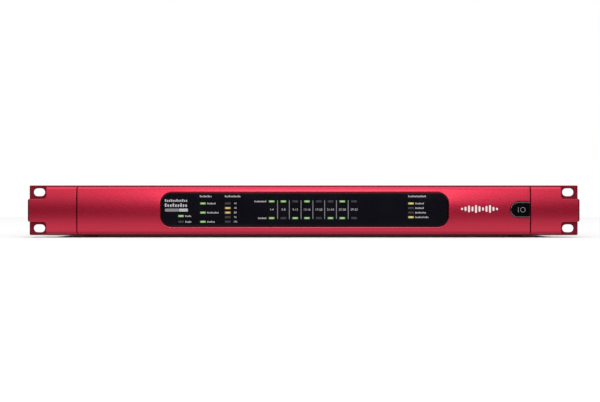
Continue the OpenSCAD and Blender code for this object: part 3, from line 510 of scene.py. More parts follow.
WHITE_PLASTIC = surface("white_plastic", (0.74, 0.73, 0.7), (0.38, 0.5), grain=1500, mottle=0.03,
                        bump=(0.1, 0.02))
SPRING_STEEL = surface("spring_steel", (0.5, 0.5, 0.49), (0.25, 0.36), metal=1, grain=1200, mottle=0.08)
FUSE_GLASS = surface("fuse_ends", (0.7, 0.71, 0.7), (0.1, 0.18), metal=0.6, grain=400, coat=0.5)
BARE_ALUMINIUM = surface("bare_aluminium", (0.62, 0.63, 0.64), (0.34, 0.48), metal=1, grain=2500,
                         stretch=(1, 0.05, 1))
BRASS = surface("brass", (0.66, 0.5, 0.24), (0.28, 0.4), metal=1, grain=1100, mottle=0.08)
CHIP = surface("chip_plastic", (0.022, 0.022, 0.025), (0.5, 0.66), grain=2200, mottle=0.2,
               bump=(0.3, 0.04))
TAPE = surface("transformer_tape", (0.42, 0.31, 0.06), (0.36, 0.5), grain=600, stretch=(1, 1, 6),
               mottle=0.18, bump=(0.25, 0.06))
FAN_PLASTIC = surface("fan_plastic", (0.03, 0.03, 0.034), (0.4, 0.52), grain=1700, mottle=0.1,
                      bump=(0.15, 0.03))
RIBBON = surface("ribbon", (0.36, 0.37, 0.4), (0.45, 0.58), grain=1250, stretch=(1, 0.02, 0.02),
                 mottle=0.12, bump=(0.6, 0.15))
LEADS = surface("lead_insulation", (0.34, 0.045, 0.022), (0.42, 0.55), mottle=0.1)
LED_BODY = surface("led_body", (0.8, 0.78, 0.66), (0.3, 0.42))
GREEN_BOARD = board_finish("green_board", (0.01, 0.07, 0.028), (0.03, 0.16, 0.06))
BLUE_BOARD = board_finish("blue_board", (0.012, 0.034, 0.1), (0.03, 0.085, 0.2))


# ---------- Front panel ----------


def face_section():
    """Depth below the crest at each height: the arc, a small radius at the crease, the chamfer."""
    heights = np.linspace(0, PANEL_HALF, 400)
    arc_slope = heights / np.sqrt(FACE_R**2 - heights**2)
    blend = np.clip((heights - CREASE) / CREASE_ROUND + 0.5, 0, 1)
    slope = arc_slope + (1 - arc_slope) * blend**2 * (3 - 2 * blend)
    step = heights[1] - heights[0]
    depth = np.concatenate(([0], np.cumsum((slope[1:] + slope[:-1]) / 2 * step)))
    return heights, depth


FACE_HEIGHTS, FACE_DEPTHS = face_section()


def below_crest(height):
    return float(np.interp(abs(height), FACE_HEIGHTS, FACE_DEPTHS))


def bow(bm, low=-PANEL_HALF, high=PANEL_HALF):
    """Bends the front of a plate, in (x, height, depth), to the face's section, with room for print."""
    even = np.arange(math.ceil(low), high, 1.2)
    crease = [s * (CREASE + k * CREASE_ROUND / 8) for s in (-1, 1) for k in range(-4, 5)]
    cut_at(bm, 1, sorted({round(h, 2) for h in [*even, *crease] if low < h < high}))
    for v in bm.verts:
        if v.co.z < FASCIA_T / 2:
            v.co.z += PRINT_T + below_crest(v.co.y)


def front_at(y):
    """A place for a plate whose front face is at depth y."""
    return at(0, y, 0) @ FRONT_VIEW


def make_fascia():
    half, top, r = FASCIA_HIGH.x, PANEL_HALF, 0.6
    outline = [
        *arc(-half + r, -top + r, r, 180, 270, 3),
        *arc(half - r, -top + r, r, 270, 360, 3),
        (half, BUTTON_Z - BUTTON_R),
        *arc(BUTTON_X, BUTTON_Z, BUTTON_R, 270, 90, 24),
        (half, BUTTON_Z + BUTTON_R),
        *arc(half - r, top - r, r, 0, 90, 3),
        *arc(-half + r, top - r, r, 90, 180, 3),
    ]
    window = rounded(WINDOW_X, WINDOW_Z, *WINDOW, steps=14)
    bm = plate(outline, [window], FASCIA_T, edge=0.3, hole_edge=0.8)
    bow(bm)
    piece("fascia", [(bm, front_at(Y_CREST), RED)], "front_fascia")


def make_end_cap(side, name, node):
    """side is +1 for the right cap and -1 for the left."""
    top, tab, notch_r, tab_r, r = PANEL_HALF, TAB_HALF, 2.5, 1.5, 0.6
    inner = CAP_LOW.x
    outline = [
        *arc(inner + r, -top + r, r, 180, 270, 3),
        *arc(NOTCH_X - r, -top + r, r, 270, 360, 3),
        *arc(NOTCH_X + notch_r, -tab - notch_r, notch_r, 180, 90, 8),
        *arc(HALF_WIDTH - tab_r, -tab + tab_r, tab_r, 270, 360, 6),
        *arc(HALF_WIDTH - tab_r, tab - tab_r, tab_r, 0, 90, 6),
        *arc(NOTCH_X + notch_r, tab + notch_r, notch_r, 270, 180, 8),
        *arc(NOTCH_X - r, top - r, r, 0, 90, 3),
        *arc(inner + r, top - r, r, 90, 180, 3),
    ]
    end_chamfer = HALF_WIDTH - 1.4
    bm = plate([(side * x, z) for x, z in outline], thickness=FASCIA_T, edge=0.3)
    bow(bm)
    cut_at(bm, 0, [side * end_chamfer])
    for v in bm.verts:
        if v.co.z < FASCIA_T / 2:
            v.co.z += max(0, abs(v.co.x) - end_chamfer)
    piece(name, [(bm, front_at(Y_CREST), RED)], node)


def make_rack_plate():
    wide, tall = PLATE_HIGH.x - PLATE_LOW.x, PLATE_HIGH.z - PLATE_LOW.z
    across, up = SLOT_PITCH[0] / 2, SLOT_PITCH[1] / 2
    corners = [(-across, -up), (-across, up), (across, -up), (across, up)]
    slots = [rounded(x, z, *SLOT_SIZE, SLOT_SIZE[1] / 2 - 0.01) for x, z in corners]
    outline = rounded(0, 0, wide, tall, 1)
    bm = plate(outline, slots + panel_openings(1), Y_RACK - Y_PLATE, edge=0.3, hole_edge=0.35, back=0.3)
    # The rack plate takes the darkened red, painted shade for its place behind the fascia.
    piece("rack_plate", [(bm, front_at(Y_PLATE), SHADED_RACK_RED)], "rack_panel")


# ---------- Window ----------


LAMP = (5.1, 1.8)
LAMP_NODES = {
    "green_light_pipes": (GREEN, "lit_green"),
    "yellow_light_pipes": (YELLOW, "lit_yellow"),
    "amber_light_pipes": (AMBER, "lit_amber"),
    "unlit_light_pipes": (UNLIT, "unlit_pipe"),
}
LAMPS = {node: [(x, z - Z_MID) for x, _, z in solids(node)] for node in LAMP_NODES}


def make_lens():
    holes = [
        rounded(x, z, LAMP[0] + 0.1, LAMP[1] + 0.1, 0.35, 3)
        for places in LAMPS.values()
        for x, z in places
    ]
    w, h, r = WINDOW
    outline = rounded(WINDOW_X, WINDOW_Z, w - 0.3, h - 0.3, r - 0.15, 14)
    bm = plate(outline, holes, 4.5, edge=0.7, hole_edge=0.12)
    piece("window", [(bm, front_at(LENS_FACE), LENS)], "display_lens")


def make_lamps():
    for node, (material, slot) in LAMP_NODES.items():
        parts, centres = [], LAMPS[node]
        for x, z in centres:
            bm = plate(rounded(x, z, *LAMP, 0.3, 3), thickness=4, edge=0.3)
            for axis, middle in enumerate((x, z)):
                cut_at(bm, axis, [middle + LAMP[axis] * k / 10 for k in range(-4, 5)])
            parts.append((bm, front_at(LENS_FACE - 0.1), material))
        obj = piece(node.replace("light_pipes", "lamps"), parts, node)
        glow = obj.data.attributes.new("glow", "FLOAT", "POINT")
        for k, v in enumerate(obj.data.vertices):
            x, z = v.co.x / MM, v.co.z / MM - Z_MID
            reach = min(max(abs(x - cx) / LAMP[0], abs(z - cz) / LAMP[1]) for cx, cz in centres)
            glow.data[k].value = 1 - min(1, reach * 2) ** 2


# ---------- Printed marks ----------


def strip(x0, x1, z, tall, material, place=None):
    """A printed bar from x0 to x1, centred on height z. It is on the window, unless a place is given."""
    loop = rounded((x0 + x1) / 2, z, x1 - x0, tall, min(tall, x1 - x0) * 0.2, 2)
    return printed(loop), place or front_at(LENS_FACE - PRINT_T), material


def number(text, place, tall, name):
    """A printed number, as a flat mesh that stands upright at a place and faces -Y."""
    curve = bpy.data.curves.new(name, "FONT")
    curve.body = text
    curve.align_x, curve.align_y = "CENTER", "CENTER"
    curve.size, curve.extrude = tall, 0.02
    holder = add_object(name, curve)
    bpy.context.view_layer.update()
    mesh = bpy.data.meshes.new_from_object(holder)
    bpy.data.objects.remove(holder)
    mesh.materials.clear()
    mesh.materials.append(PRINT)
    mesh.transform(Matrix.Scale(MM, 4) @ place @ Matrix.Rotation(math.pi / 2, 4, "X"))
    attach(add_object(name, mesh), CHASSIS)


CHANNEL_X, CHANNEL_PITCH, CHANNELS = -28.0, 10.3, 8
CHANNEL_Z = 0.6
LAMP_ROWS = [6 - 4 * k for k in range(5)]
POWER_X, NETWORK_X, RATE_X, CLOCK_X = -107.3, -88.1, -66.4, 93.9
TITLE_LEFT, TITLE_RIGHT = -121.4, -101.3
HEADING_Z, HEADING_TALL = 12.3, 1.7
LABEL_TALL = 1.5

# Headings as (left, right, height of the middle, tall)
HEADINGS = [
    (TITLE_LEFT, TITLE_RIGHT, 8.6, 2.3), (TITLE_LEFT, TITLE_RIGHT, 4.5, 3.0),
    (-90.8, -80.3, HEADING_Z, HEADING_TALL), (-68.9, -54.9, HEADING_Z, HEADING_TALL),
    (91.5, 107.2, HEADING_Z, HEADING_TALL), (-43.0, -32.4, 7.8, LABEL_TALL),
    (-39.8, -32.4, -6.8, LABEL_TALL),
]
# Labels to the right of a lamp as (x of the lamp, height, width)
LABELS = [
    (POWER_X, -5, 5.4), (POWER_X, -10, 5.4), (NETWORK_X, 6, 7.4), (NETWORK_X, -2, 10.2),
    (NETWORK_X, -10, 6.8), (CLOCK_X, 6, 7.6), (CLOCK_X, 2, 7.6), (CLOCK_X, -2, 9.4),
    (CLOCK_X, -6, 11.6),
]
LABEL_GAP, RATE_GAP = 3.9, 6.6


def word(x0, x1, z, tall, material):
    """A plain stand-in for a printed word: a row of short bars with no letters."""
    pitch = tall * 0.72
    count = max(2, round((x1 - x0) / pitch))
    step = (x1 - x0) / count
    bars = []
    for k in range(count):
        height = tall * (1.0 if k % 3 == 0 else 0.72)
        left = x0 + k * step
        bars.append(strip(left, left + step * 0.62, z - (tall - height) / 2, height, material))
    return bars


def make_window_print():
    parts = []
    for k in range(CHANNELS - 1):
        x = CHANNEL_X + (k + 0.5) * CHANNEL_PITCH
        parts.append(strip(x - 0.3, x + 0.3, CHANNEL_Z, 16.4, DIM_PRINT))
    for x0, x1, z, tall in HEADINGS:
        parts += word(x0, x1, z, tall, PRINT)
    for x0, x1, shade in ((TITLE_LEFT, -109.4, DIM_PRINT), (-109.2, TITLE_RIGHT, PRINT)):
        parts.append(strip(x0, x1, 0.2, 2.6, shade))
    for x, z, wide in LABELS:
        parts += word(x + LABEL_GAP, x + LABEL_GAP + wide, z, LABEL_TALL, PRINT)
    piece("window_marks", parts, smooth=20)
    y = LENS_FACE - 0.03
    for k in range(CHANNELS):
        place = at(CHANNEL_X + k * CHANNEL_PITCH, y, Z_MID + CHANNEL_Z)
        number(f"{4 * k + 1}-{4 * k + 4}", place, 2.7, f"channel_number_{k + 1}")
    for k, rate in enumerate(("44", "48", "88", "96", "192")):
        number(rate, at(RATE_X + RATE_GAP, y, Z_MID + LAMP_ROWS[k]), 2.4, f"rate_number_{k + 1}")


def make_fascia_mark():
    """A plain level-meter symbol: bars of different heights."""
    levels = (0.30, 0.55, 0.85, 0.60, 1.0, 0.70, 0.42, 0.75, 0.95, 0.52, 0.30)
    x0, x1, z, tall = 136.8, 170.4, 1.2, 6.9
    step = (x1 - x0) / len(levels)
    parts = []
    for k, level in enumerate(levels):
        w = step * 0.55
        loop = rounded(x0 + (k + 0.5) * step, z, w, tall * level, w / 2 - 0.01, 4)
        bm = printed(loop)
        for v in bm.verts:
            v.co.z += below_crest(v.co.y)
        parts.append((bm, front_at(Y_CREST), MARK))
    piece("fascia_mark", parts)


# ---------- Power button ----------


def make_button():
    r = (BUTTON_HIGH.z - BUTTON_LOW.z) / 2
    deep = BUTTON_HIGH.y - BUTTON_LOW.y
    cap = plate(bullet(r), thickness=deep, edge=0.8)
    ring_x, bar_x = BUTTON_X + 4.2, BUTTON_X + 0.2
    ring = printed(circle(ring_x, BUTTON_Z, 2.3), [circle(ring_x, BUTTON_Z, 1.85)])
    bar = printed(rounded(bar_x, BUTTON_Z, 0.5, 4.6, 0.22, 3))
    mark = front_at(BUTTON_LOW.y - PRINT_T)
    parts = [(cap, front_at(BUTTON_LOW.y), GLOSS_BLACK), (ring, mark, DIM_PRINT), (bar, mark, DIM_PRINT)]
    piece("power_button_top", parts, "power_button_cap", body="power_button")
    outer = (BEZEL_HIGH.z - BEZEL_LOW.z) / 2
    line, inner = outer - 0.5, outer - 0.9
    deep = BEZEL_HIGH.y - BEZEL_LOW.y
    face = front_at(BEZEL_LOW.y)
    # The guide is glossy black outside; its inner ring takes the pale metal, a painted highlight along the
    # guide's inner edge.
    guide = [(plate(horseshoe(outer, line), thickness=deep, edge=0.25), face, GLOSS_BLACK),
             (plate(horseshoe(line, inner), thickness=deep, edge=0.15), face, PAINTED_RIM_HIGHLIGHT)]
    piece("button_guide", guide, "power_button_bezel")


def make_spring():
    """The button's spring, built at its rest length; the real spring shortens as the button goes in."""
    wire, turns, travel = 0.6, 4.5, 3
    radius = (SPRING_HIGH.x - SPRING_LOW.x - wire) / 2
    length = SPRING_HIGH.y - SPRING_LOW.y
    start = at(STEM_X, SPRING_LOW.y + wire / 2, Z_MID + STEM_Z)
    parts = [(coil(radius, wire, turns, length - wire), start, SPRING_STEEL)]
    spring = piece("button_spring", parts, "power_button_spring", smooth=60)
    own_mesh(spring)


# ---------- Chassis ----------

BEND = 1.6
FLAT_HALF, BEND_LENGTH = TRAY_HIGH.x - BEND, BEND * math.pi / 2
VENT = (24, 2.6, 5, 7)


def screw_places(node, side):
    """(y, z) of a node's solids that stand on the left (-1) or right (+1) wall."""
    return [(y, z) for x, y, z in solids(node) if side * x > TRAY_HIGH.x - 6]


def unfolded(z):
    """How far along the flat sheet a point at height z on a side wall lies."""
    return FLAT_HALF + BEND_LENGTH + (z - TRAY_LOW.z - BEND)


def fold(v):
    """Folds the tray's flat sheet, in (across, y, depth), into a floor with two walls."""
    across, inward = abs(v.co.x), v.co.z
    side = math.copysign(1, v.co.x)
    turn = min(max((across - FLAT_HALF) / BEND, 0), math.pi / 2)
    beyond = max(0, across - FLAT_HALF - BEND_LENGTH)
    x = min(across, FLAT_HALF) + (BEND - inward) * math.sin(turn)
    z = TRAY_LOW.z + BEND - (BEND - inward) * math.cos(turn) + beyond
    v.co = (side * x, v.co.y, z)


def make_tray():
    outline = rounded(0, Y_HALFWAY, 2 * unfolded(TRAY_HIGH.z), CHASSIS_DEEP, 0.6, 2)
    holes = []
    for side in (-1, 1):
        for y, z in screw_places("outer_screws", side):
            holes.append(circle(side * unfolded(z), y, SCREW_HOLE, 16))
    fans = [centre(rotor)[1] for rotor in ("fan_rotor_front", "fan_rotor_rear")]
    tall, wide, pitch, count = VENT
    for y in fans:
        for k in range(count):
            step = (k - (count - 1) / 2) * pitch
            for side, shift in ((-1, 0), (1, 60)):
                x = side * unfolded(Z_MID)
                holes.append(rounded(x, y + shift + step, tall, wide, wide / 2 - 0.01, 6))
    bm = plate(outline, holes, SHEET, edge=0.2, hole_edge=0.2, back=0.15)
    cut_at(bm, 0, sorted(s * (FLAT_HALF + BEND_LENGTH * k / 6) for s in (-1, 1) for k in range(7)))
    for v in bm.verts:
        fold(v)
    wall = plate(rounded(0, 0, 2 * TRAY_HIGH.x - 4, TRAY_HIGH.z - TRAY_LOW.z - 3, 1), panel_openings(2),
                 SHEET, edge=0.1)
    parts = [(bm, at(0, 0, 0), BLACK_STEEL), (wall, front_at(Y_RACK + 0.05), BLACK_STEEL)]
    piece("tray", parts, "chassis_tray")


def make_cover():
    holes = [circle(x, y, 2.9, 24) for x, y, z in solids("flush_screws") if z > Z_MID]
    outline = rounded(0, Y_HALFWAY, 2 * COVER_HIGH.x, CHASSIS_DEEP, 0.8, 3)
    bm = plate(outline, holes, SHEET, edge=0.55, hole_edge=0.15, back=0.1)
    parts = [(bm, at(0, 0, COVER_HIGH.z) @ Matrix.Diagonal((1, 1, -1, 1)), BLACK_STEEL)]
    deep = COVER_HIGH.z - COVER_LOW.z - SHEET
    for side in (-1, 1):
        flange = block((SHEET, CHASSIS_DEEP - 30, deep), 0.2)
        x = side * (COVER_HIGH.x - SHEET * 1.5 - 0.1)
        parts.append((flange, at(x, Y_HALFWAY, COVER_LOW.z + deep / 2), BLACK_STEEL))
    piece("cover", parts, "top_cover")



def columns(node):
    """The x of each solid in a node, each x once."""
    return sorted({x for x, _, _ in solids(node)})


INLETS, JACKS = columns("mains_inlets"), columns("network_jacks")
BNCS, LINKS = columns("bnc_jacks"), columns("link_socket_tongues")
GROUND = solids("ground_screw")[0]
WELL_Z, FUSE_Z = 5.6, -9.6
JACK_Z, JACK_FLANGE = -1.2, 2.2
JACK_SCREW = (9.5, 12)
LINK_POST = 15.2
SLIDER_LOW, SLIDER_HIGH = box("termination_slider")
LATCH_Z = centre("network_latch_1")[2]
REAR_T = 1.5


def rear_at(out=0.0):
    """A place for a plate on the rear: its front face looks away from the chassis."""
    return at(0, out, 0) @ REAR_VIEW


def post_holes(x):
    """The bores for the two jackscrews of the link socket at x."""
    return [circle(x + s * LINK_POST, 0, 1.5, 16) for s in (-1, 1)]


def make_rear_panel():
    holes = [rounded(x, 0, 27.2, 30.6, 0.5, 2) for x in INLETS]
    holes += [circle(x, 0, 11.9, 40) for x in JACKS] + [circle(x, 0, 4.9, 32) for x in BNCS]
    holes += [rounded(x, 0, 22.4, 9, 0.6, 3) for x in LINKS]
    for x in LINKS:
        holes += post_holes(x)
    holes.append(circle(GROUND[0], GROUND[2] - Z_MID, 2.2, 20))
    holes.append(rounded(centre("termination_slider")[0] + 1.5, 0, 6.6, 3.6, 0.3, 2))
    outline = rounded(0, centre("rear_panel")[2], 2 * REAR_HIGH.x, REAR_HIGH.z - REAR_LOW.z, 0.5, 2)
    bm = plate(outline, holes, REAR_T, edge=0.3, hole_edge=0.15)
    piece("rear_plate", [(bm, rear_at(), BLACK_STEEL)], "rear_panel")


def make_feet():
    parts = []
    for x, y, _ in solids("rubber_feet"):
        top = TRAY_LOW.z
        section = [(5.2, 0.5), (5.6, 0.05), (6.5, 0), (7.0, 0.15), (7.25, 0.5), (7.9, top - 0.1), (7.9, top)]
        parts.append((turned(section), at(x, y, 0), RUBBER))
    piece("feet", parts, "rubber_feet")


# ---------- Screws ----------


def button_head(tip):
    """A button-head screw about +Z, with its head's seat at 0 and a hexagon socket."""
    dome = [(2.7 * math.cos(math.radians(a)), 1.6 * math.sin(math.radians(a))) for a in (0, 18, 36, 52)]
    return turned([
        (1.2, -tip), (1.25, -tip + 0.2), (1.25, 0), (2.6, 0), *dome,
        (1.25, 1.56), (1.15, 1.52, 6), (1.1, 0.5, 6), (0.4, 0.25),
    ])


def make_screws():
    parts = []
    for side in (-1, 1):
        for y, z in screw_places("outer_screws", side):
            turn = Matrix.Rotation(side * math.pi / 2, 4, "Y")
            parts.append((button_head(4.5), at(side * TRAY_HIGH.x, y, z) @ turn, BLACK_SCREW))
    for x in JACKS:
        for s in (-1, 1):
            place = from_rear(x + s * JACK_SCREW[0], s * JACK_SCREW[1], JACK_FLANGE)
            parts.append((button_head(4.5), place, BLACK_SCREW))
    piece("button_head_screws", parts, "outer_screws")
    flush = []
    for x, y, z in solids("flush_screws"):
        up = z > Z_MID
        head = turned([(1.2, -4.6), (1.2, -1.2), (1.6, -1.2), (2.7, -0.12), (2.7, 0), (1.25, 0),
                       (1.1, -0.03, 6), (1.05, -0.8, 6), (0.4, -0.95)])
        seat = at(x, y, COVER_HIGH.z) if up else at(x, y, TRAY_LOW.z) @ Matrix.Rotation(math.pi, 4, "X")
        flush.append((head, seat, BLACK_SCREW))
    piece("countersunk_screws", flush, "flush_screws")


# ---------- Rear connectors ----------


def well_outline(x, z=WELL_Z, w=24.2, h=16.2, bevel=4):
    """Outline of a mains inlet's opening, with its two upper corners cut off."""
    w, h = w / 2, h / 2
    return [
        (x - w, z - h), (x + w, z - h), (x + w, z + h - bevel), (x + w - bevel, z + h),
        (x - w + bevel, z + h), (x - w, z + h - bevel),
    ]


def make_inlets():
    bodies, pins = [], []
    for x in INLETS:
        wells = [well_outline(x), rounded(x, FUSE_Z, 23, 8.2, 0.2, 2)]
        flange = plate(rounded(x, 0, 30, 34, 2), wells, 2, edge=0.6, hole_edge=0.4)
        sleeve = plate(rounded(x, 0, 27, 30.4, 1, 3), wells, 14.5, edge=0.05)
        back = block((27, 9, 30.4), 0.5)
        places = rear_at(2), rear_at(0), at(x, Y_REAR - 19.2, Z_MID)
        bodies += [(bm, place, BLACK_PLASTIC) for bm, place in zip((flange, sleeve, back), places)]
        for dx, dz in ((-7, -2), (7, -2), (0, 2)):
            place = at(x + dx, Y_REAR - 15.25, Z_MID + WELL_Z + dz)
            pins.append((block((2, 29.5, 4), 0.6, 3), place, NICKEL))
    piece("mains_inlet_bodies", bodies, "mains_inlets")
    piece("mains_inlet_blades", pins, "inlet_pins")


def make_fuse_drawer(node, body):
    low, high = box(node)
    x, _, z = centre(node)
    face = Y_REAR + 2
    w, h, deep = high.x - low.x, high.z - low.z, face - low.y
    front = plate(rounded(x, z, w, h, 0.5, 3), [rounded(x, z + 0.9, 8, 2.2, 0.4, 3)], 1.2, edge=0.35)
    rest = plate(rounded(x, z, w - 0.3, h - 0.3, 0.4, 2), thickness=2, edge=0.05)
    floor = block((w - 0.4, deep - 3.2, 1.2), 0.2)
    lip = plate(rounded(x, z - h / 2 + 0.8, 10, 1.6, 0.5, 3), thickness=1.7, edge=0.4)
    y = (low.y + face - 3.2) / 2
    parts = [(front, rear_at(2), BLACK_PLASTIC), (rest, rear_at(0.8), BLACK_PLASTIC),
             (floor, at(x, y, low.z + 0.8), BLACK_PLASTIC), (lip, rear_at(3.6), BLACK_PLASTIC)]
    for s in (-1, 1):
        cheek = block((1, deep - 3.2, h - 0.4), 0.2)
        parts.append((cheek, at(x + s * (w / 2 - 0.7), y, (low.z + high.z) / 2), BLACK_PLASTIC))
    piece(f"{node}_tray", parts, node, body=body)


def jack_socket(x):
    """Outline of an eight-contact network socket, with its two-step keyway below."""
    w, top, low = 5.95, 3.0, -4.2
    half = [(w, low), (3, low), (3, low - 1.2), (1.6, low - 1.2), (1.6, low - 2)]
    below = [(x - u, z) for u, z in half] + [(x + u, z) for u, z in reversed(half)]
    return below + [(x + w, top), (x - w, top)]


def make_network_jacks():
    shells, inserts, contacts = [], [], []
    for x in JACKS:
        opening = rounded(x, JACK_Z, 15.9, 14.1, 0.4, 2)
        insert = rounded(x, JACK_Z, 15.8, 14, 0.4, 2)
        holes = [opening, rounded(x, LATCH_Z, 7.4, 2.8, 0.4, 3)]
        holes += [circle(x + s * JACK_SCREW[0], s * JACK_SCREW[1], SCREW_HOLE, 20) for s in (-1, 1)]
        flange = plate(rounded(x, 0, 26, 31, 3.2), holes, JACK_FLANGE, edge=0.6, hole_edge=0.3)
        ring = plate(circle(x, 0, 11.8, 48), [opening], 24, edge=0.05)
        shells += [(flange, rear_at(JACK_FLANGE), JACK_METAL), (ring, rear_at(0), JACK_METAL)]
        socket = plate(insert, [jack_socket(x)], 18, edge=0.2, hole_edge=0.25)
        back = plate(insert, thickness=8, edge=0.1)
        inserts += [(socket, rear_at(JACK_FLANGE), BLACK_PLASTIC),
                    (back, rear_at(JACK_FLANGE - 18), BLACK_PLASTIC)]
        for k in range(8):
            place = at(x + (k - 3.5) * 1.02, Y_REAR - 6.8, Z_MID + 2.8)
            contacts.append((block((0.45, 10, 0.4), 0.15), place, GOLD))
    piece("network_jack_shells", shells, "network_jacks")
    piece("network_jack_inserts", inserts, "network_inserts")
    piece("network_jack_contacts", contacts, "network_contacts")


def make_latch(node, body):
    low, high = box(node)
    x = centre(node)[0]
    deep = high.y - low.y
    tab = plate(rounded(x, LATCH_Z, high.x - low.x, high.z - low.z, 0.8, 4), thickness=deep, edge=0.35)
    parts = [(tab, rear_at(high.y - Y_REAR), NICKEL)]
    for dz in (-0.6, 0, 0.6):
        rib = plate(rounded(x, LATCH_Z + dz, 4.6, 0.3, 0.1, 2), thickness=0.2, edge=0.08)
        parts.append((rib, rear_at(high.y - Y_REAR + 0.15), NICKEL))
    piece(f"{node}_tab", parts, node, body=body)


def make_bncs():
    out = box("bnc_jacks")[1].y - Y_REAR
    shells, cores, pins, nuts = [], [], [], []
    for x in BNCS:
        thread = []
        for k in range(8):
            thread += [(4.8, -2.4 + k * 0.7), (4.45, -2.05 + k * 0.7)]
        shell = turned([
            (2.45, -2.5), *thread, (4.8, 3.3), (5.7, 3.4), (5.7, 4.6), (4.8, 4.7), (4.8, out - 0.5),
            (4.6, out - 0.1), (4.3, out), (4.05, out - 0.15), (4.05, 3.4), (2.45, 3.4),
        ], 48)
        shells.append((shell, from_rear(x), NICKEL))
        for s in (-1, 1):
            lug = turned([(1, -0.1), (1, 0.75), (0.8, 0.95), (0.3, 1.0)], 20)
            turn = Matrix.Rotation(0 if s > 0 else math.pi, 4, "X")
            shells.append((lug, at(x, Y_REAR + 9.2, Z_MID + s * 4.75) @ turn, NICKEL))
        cores.append((turned([(1.0, -2.5), (2.4, -2.5), (2.4, out - 2.35), (2.25, out - 2.2),
                              (1.15, out - 2.2), (1.0, out - 2.35)], 32), from_rear(x), WHITE_PLASTIC))
        pins.append((turned([(0.9, -2.5), (0.95, out - 3.0), (0.8, out - 2.8), (0.55, out - 2.85),
                             (0.5, 4)], 24), from_rear(x), GOLD))
        nuts.append((turned([(4.85, 0.8, 36), (6.4, 0.8), (7.0, 1.15, 6), (7.0, 2.95, 6), (6.4, 3.3),
                             (4.85, 3.3)], 48), from_rear(x), NICKEL))
        nuts.append((turned([(4.85, 0.02), (7.5, 0.02), (7.6, 0.15), (7.6, 0.6), (7.45, 0.7),
                             (4.85, 0.7)], 48), from_rear(x), NICKEL))
    piece("coaxial_shells", shells, "bnc_jacks")
    piece("coaxial_insulators", cores, "bnc_insulators")
    piece("coaxial_contacts", pins, "bnc_contacts")
    piece("coaxial_nuts", nuts, "bnc_nuts")


def shell_outline(x, w, h, slant=1.6):
    """A link socket's outline, narrower below."""
    w, h = w / 2, h / 2
    return [(x - w + slant, -h), (x + w - slant, -h), (x + w, h), (x - w, h)]


# A link's plastic base, tongue and body as (size, edge, distance out, height)
LINK_BLOCKS = [((21, 1.5, 7.6), 0.2, -0.75, 0), ((15.6, 4.7, 2.2), 0.3, 2.35, 0),
               ((22, 10, 17.5), 0.4, -6.6, -3.8)]


def make_links():
    shells, tongues, posts = [], [], []
    for x in LINKS:
        inner = shell_outline(x, 20.24, 7)
        shells.append((plate(shell_outline(x, 22, 8.6), [inner], 5.5, edge=0.3), rear_at(5.5), NICKEL))
        flange = plate(rounded(x, 0, 38, 11.4, 1, 4), [inner] + post_holes(x), 1, edge=0.25)
        shells.append((flange, rear_at(1), NICKEL))
        for size, edge, out, up in LINK_BLOCKS:
            tongues.append((block(size, edge), at(x, Y_REAR + out, Z_MID + up), BLACK_PLASTIC))
        for k in range(13):
            for s in (-1, 1):
                contact = block((0.5, 4.0, 0.14), 0.05)
                place = at(x + (k - 6) * 1.1, Y_REAR + 2.2, Z_MID + s * 1.13)
                tongues.append((contact, place, GOLD))
        for s in (-1, 1):
            post = turned([(1.3, -5), (1.3, 0), (2.3, 0), (2.4, 0.15, 6), (2.4, 4.7, 6), (2.2, 5.0),
                           (1.35, 5), (1.1, 4.75), (1.1, 1.0)], 36)
            posts.append((post, from_rear(x + s * LINK_POST, out=1), NICKEL))
    piece("link_shells", shells, "link_socket_shells")
    piece("link_tongues", tongues, "link_socket_tongues")
    piece("link_jackscrews", posts, "link_socket_jackscrews")


def make_small_controls():
    slider = block(tuple(SLIDER_HIGH - SLIDER_LOW), 0.25)
    middle = (SLIDER_LOW + SLIDER_HIGH) / 2
    parts = [(slider, at(*middle), WHITE_PLASTIC)]
    for k in (-1, 0, 1):
        rib = block((0.35, 0.3, 2.8), 0.1)
        parts.append((rib, at(middle.x + k * 0.8, SLIDER_HIGH.y, middle.z), WHITE_PLASTIC))
    piece("termination_knob", parts, "termination_slider", body="termination")
    x, z = GROUND[0], GROUND[2] - Z_MID
    head = plate(circle(x, z, 3.8, 40), [cross(x, z, 2.2, 0.45)], 1.2, edge=0.5, hole_edge=0.15)
    seat = plate(circle(x, z, 3.8, 40), thickness=1.3, edge=0.05)
    washer = turned([(1.9, -6), (1.9, 0), (4.5, 0), (4.6, 0.15), (4.6, 0.7), (4.5, 0.8), (1.9, 0.8)], 40)
    parts = [(head, rear_at(3.2), NICKEL), (seat, rear_at(2.1), NICKEL),
             (washer, from_rear(x, z), NICKEL)]
    piece("earth_screw", parts, "ground_screw")


def make_rear_print():
    """Plain rules above the sockets and a number below each."""
    rules = [(min(BNCS) - 8, max(BNCS) + 8), (min(LINKS) - 19, max(LINKS) + 19)]
    parts = [strip(x0, x1, 11.5, 0.5, DIM_PRINT, rear_at(PRINT_T)) for x0, x1 in rules]
    piece("rear_rules", parts)
    for name, sockets in (("coaxial", BNCS), ("link", LINKS)):
        for k, x in enumerate(reversed(sockets)):
            place = at(x, Y_REAR + 0.03, Z_MID - 10.5) @ Matrix.Rotation(math.pi, 4, "Z")
            number(str(k + 1), place, 3, f"{name}_number_{k + 1}")


# ---------- CAD nodes that keep their shape ----------

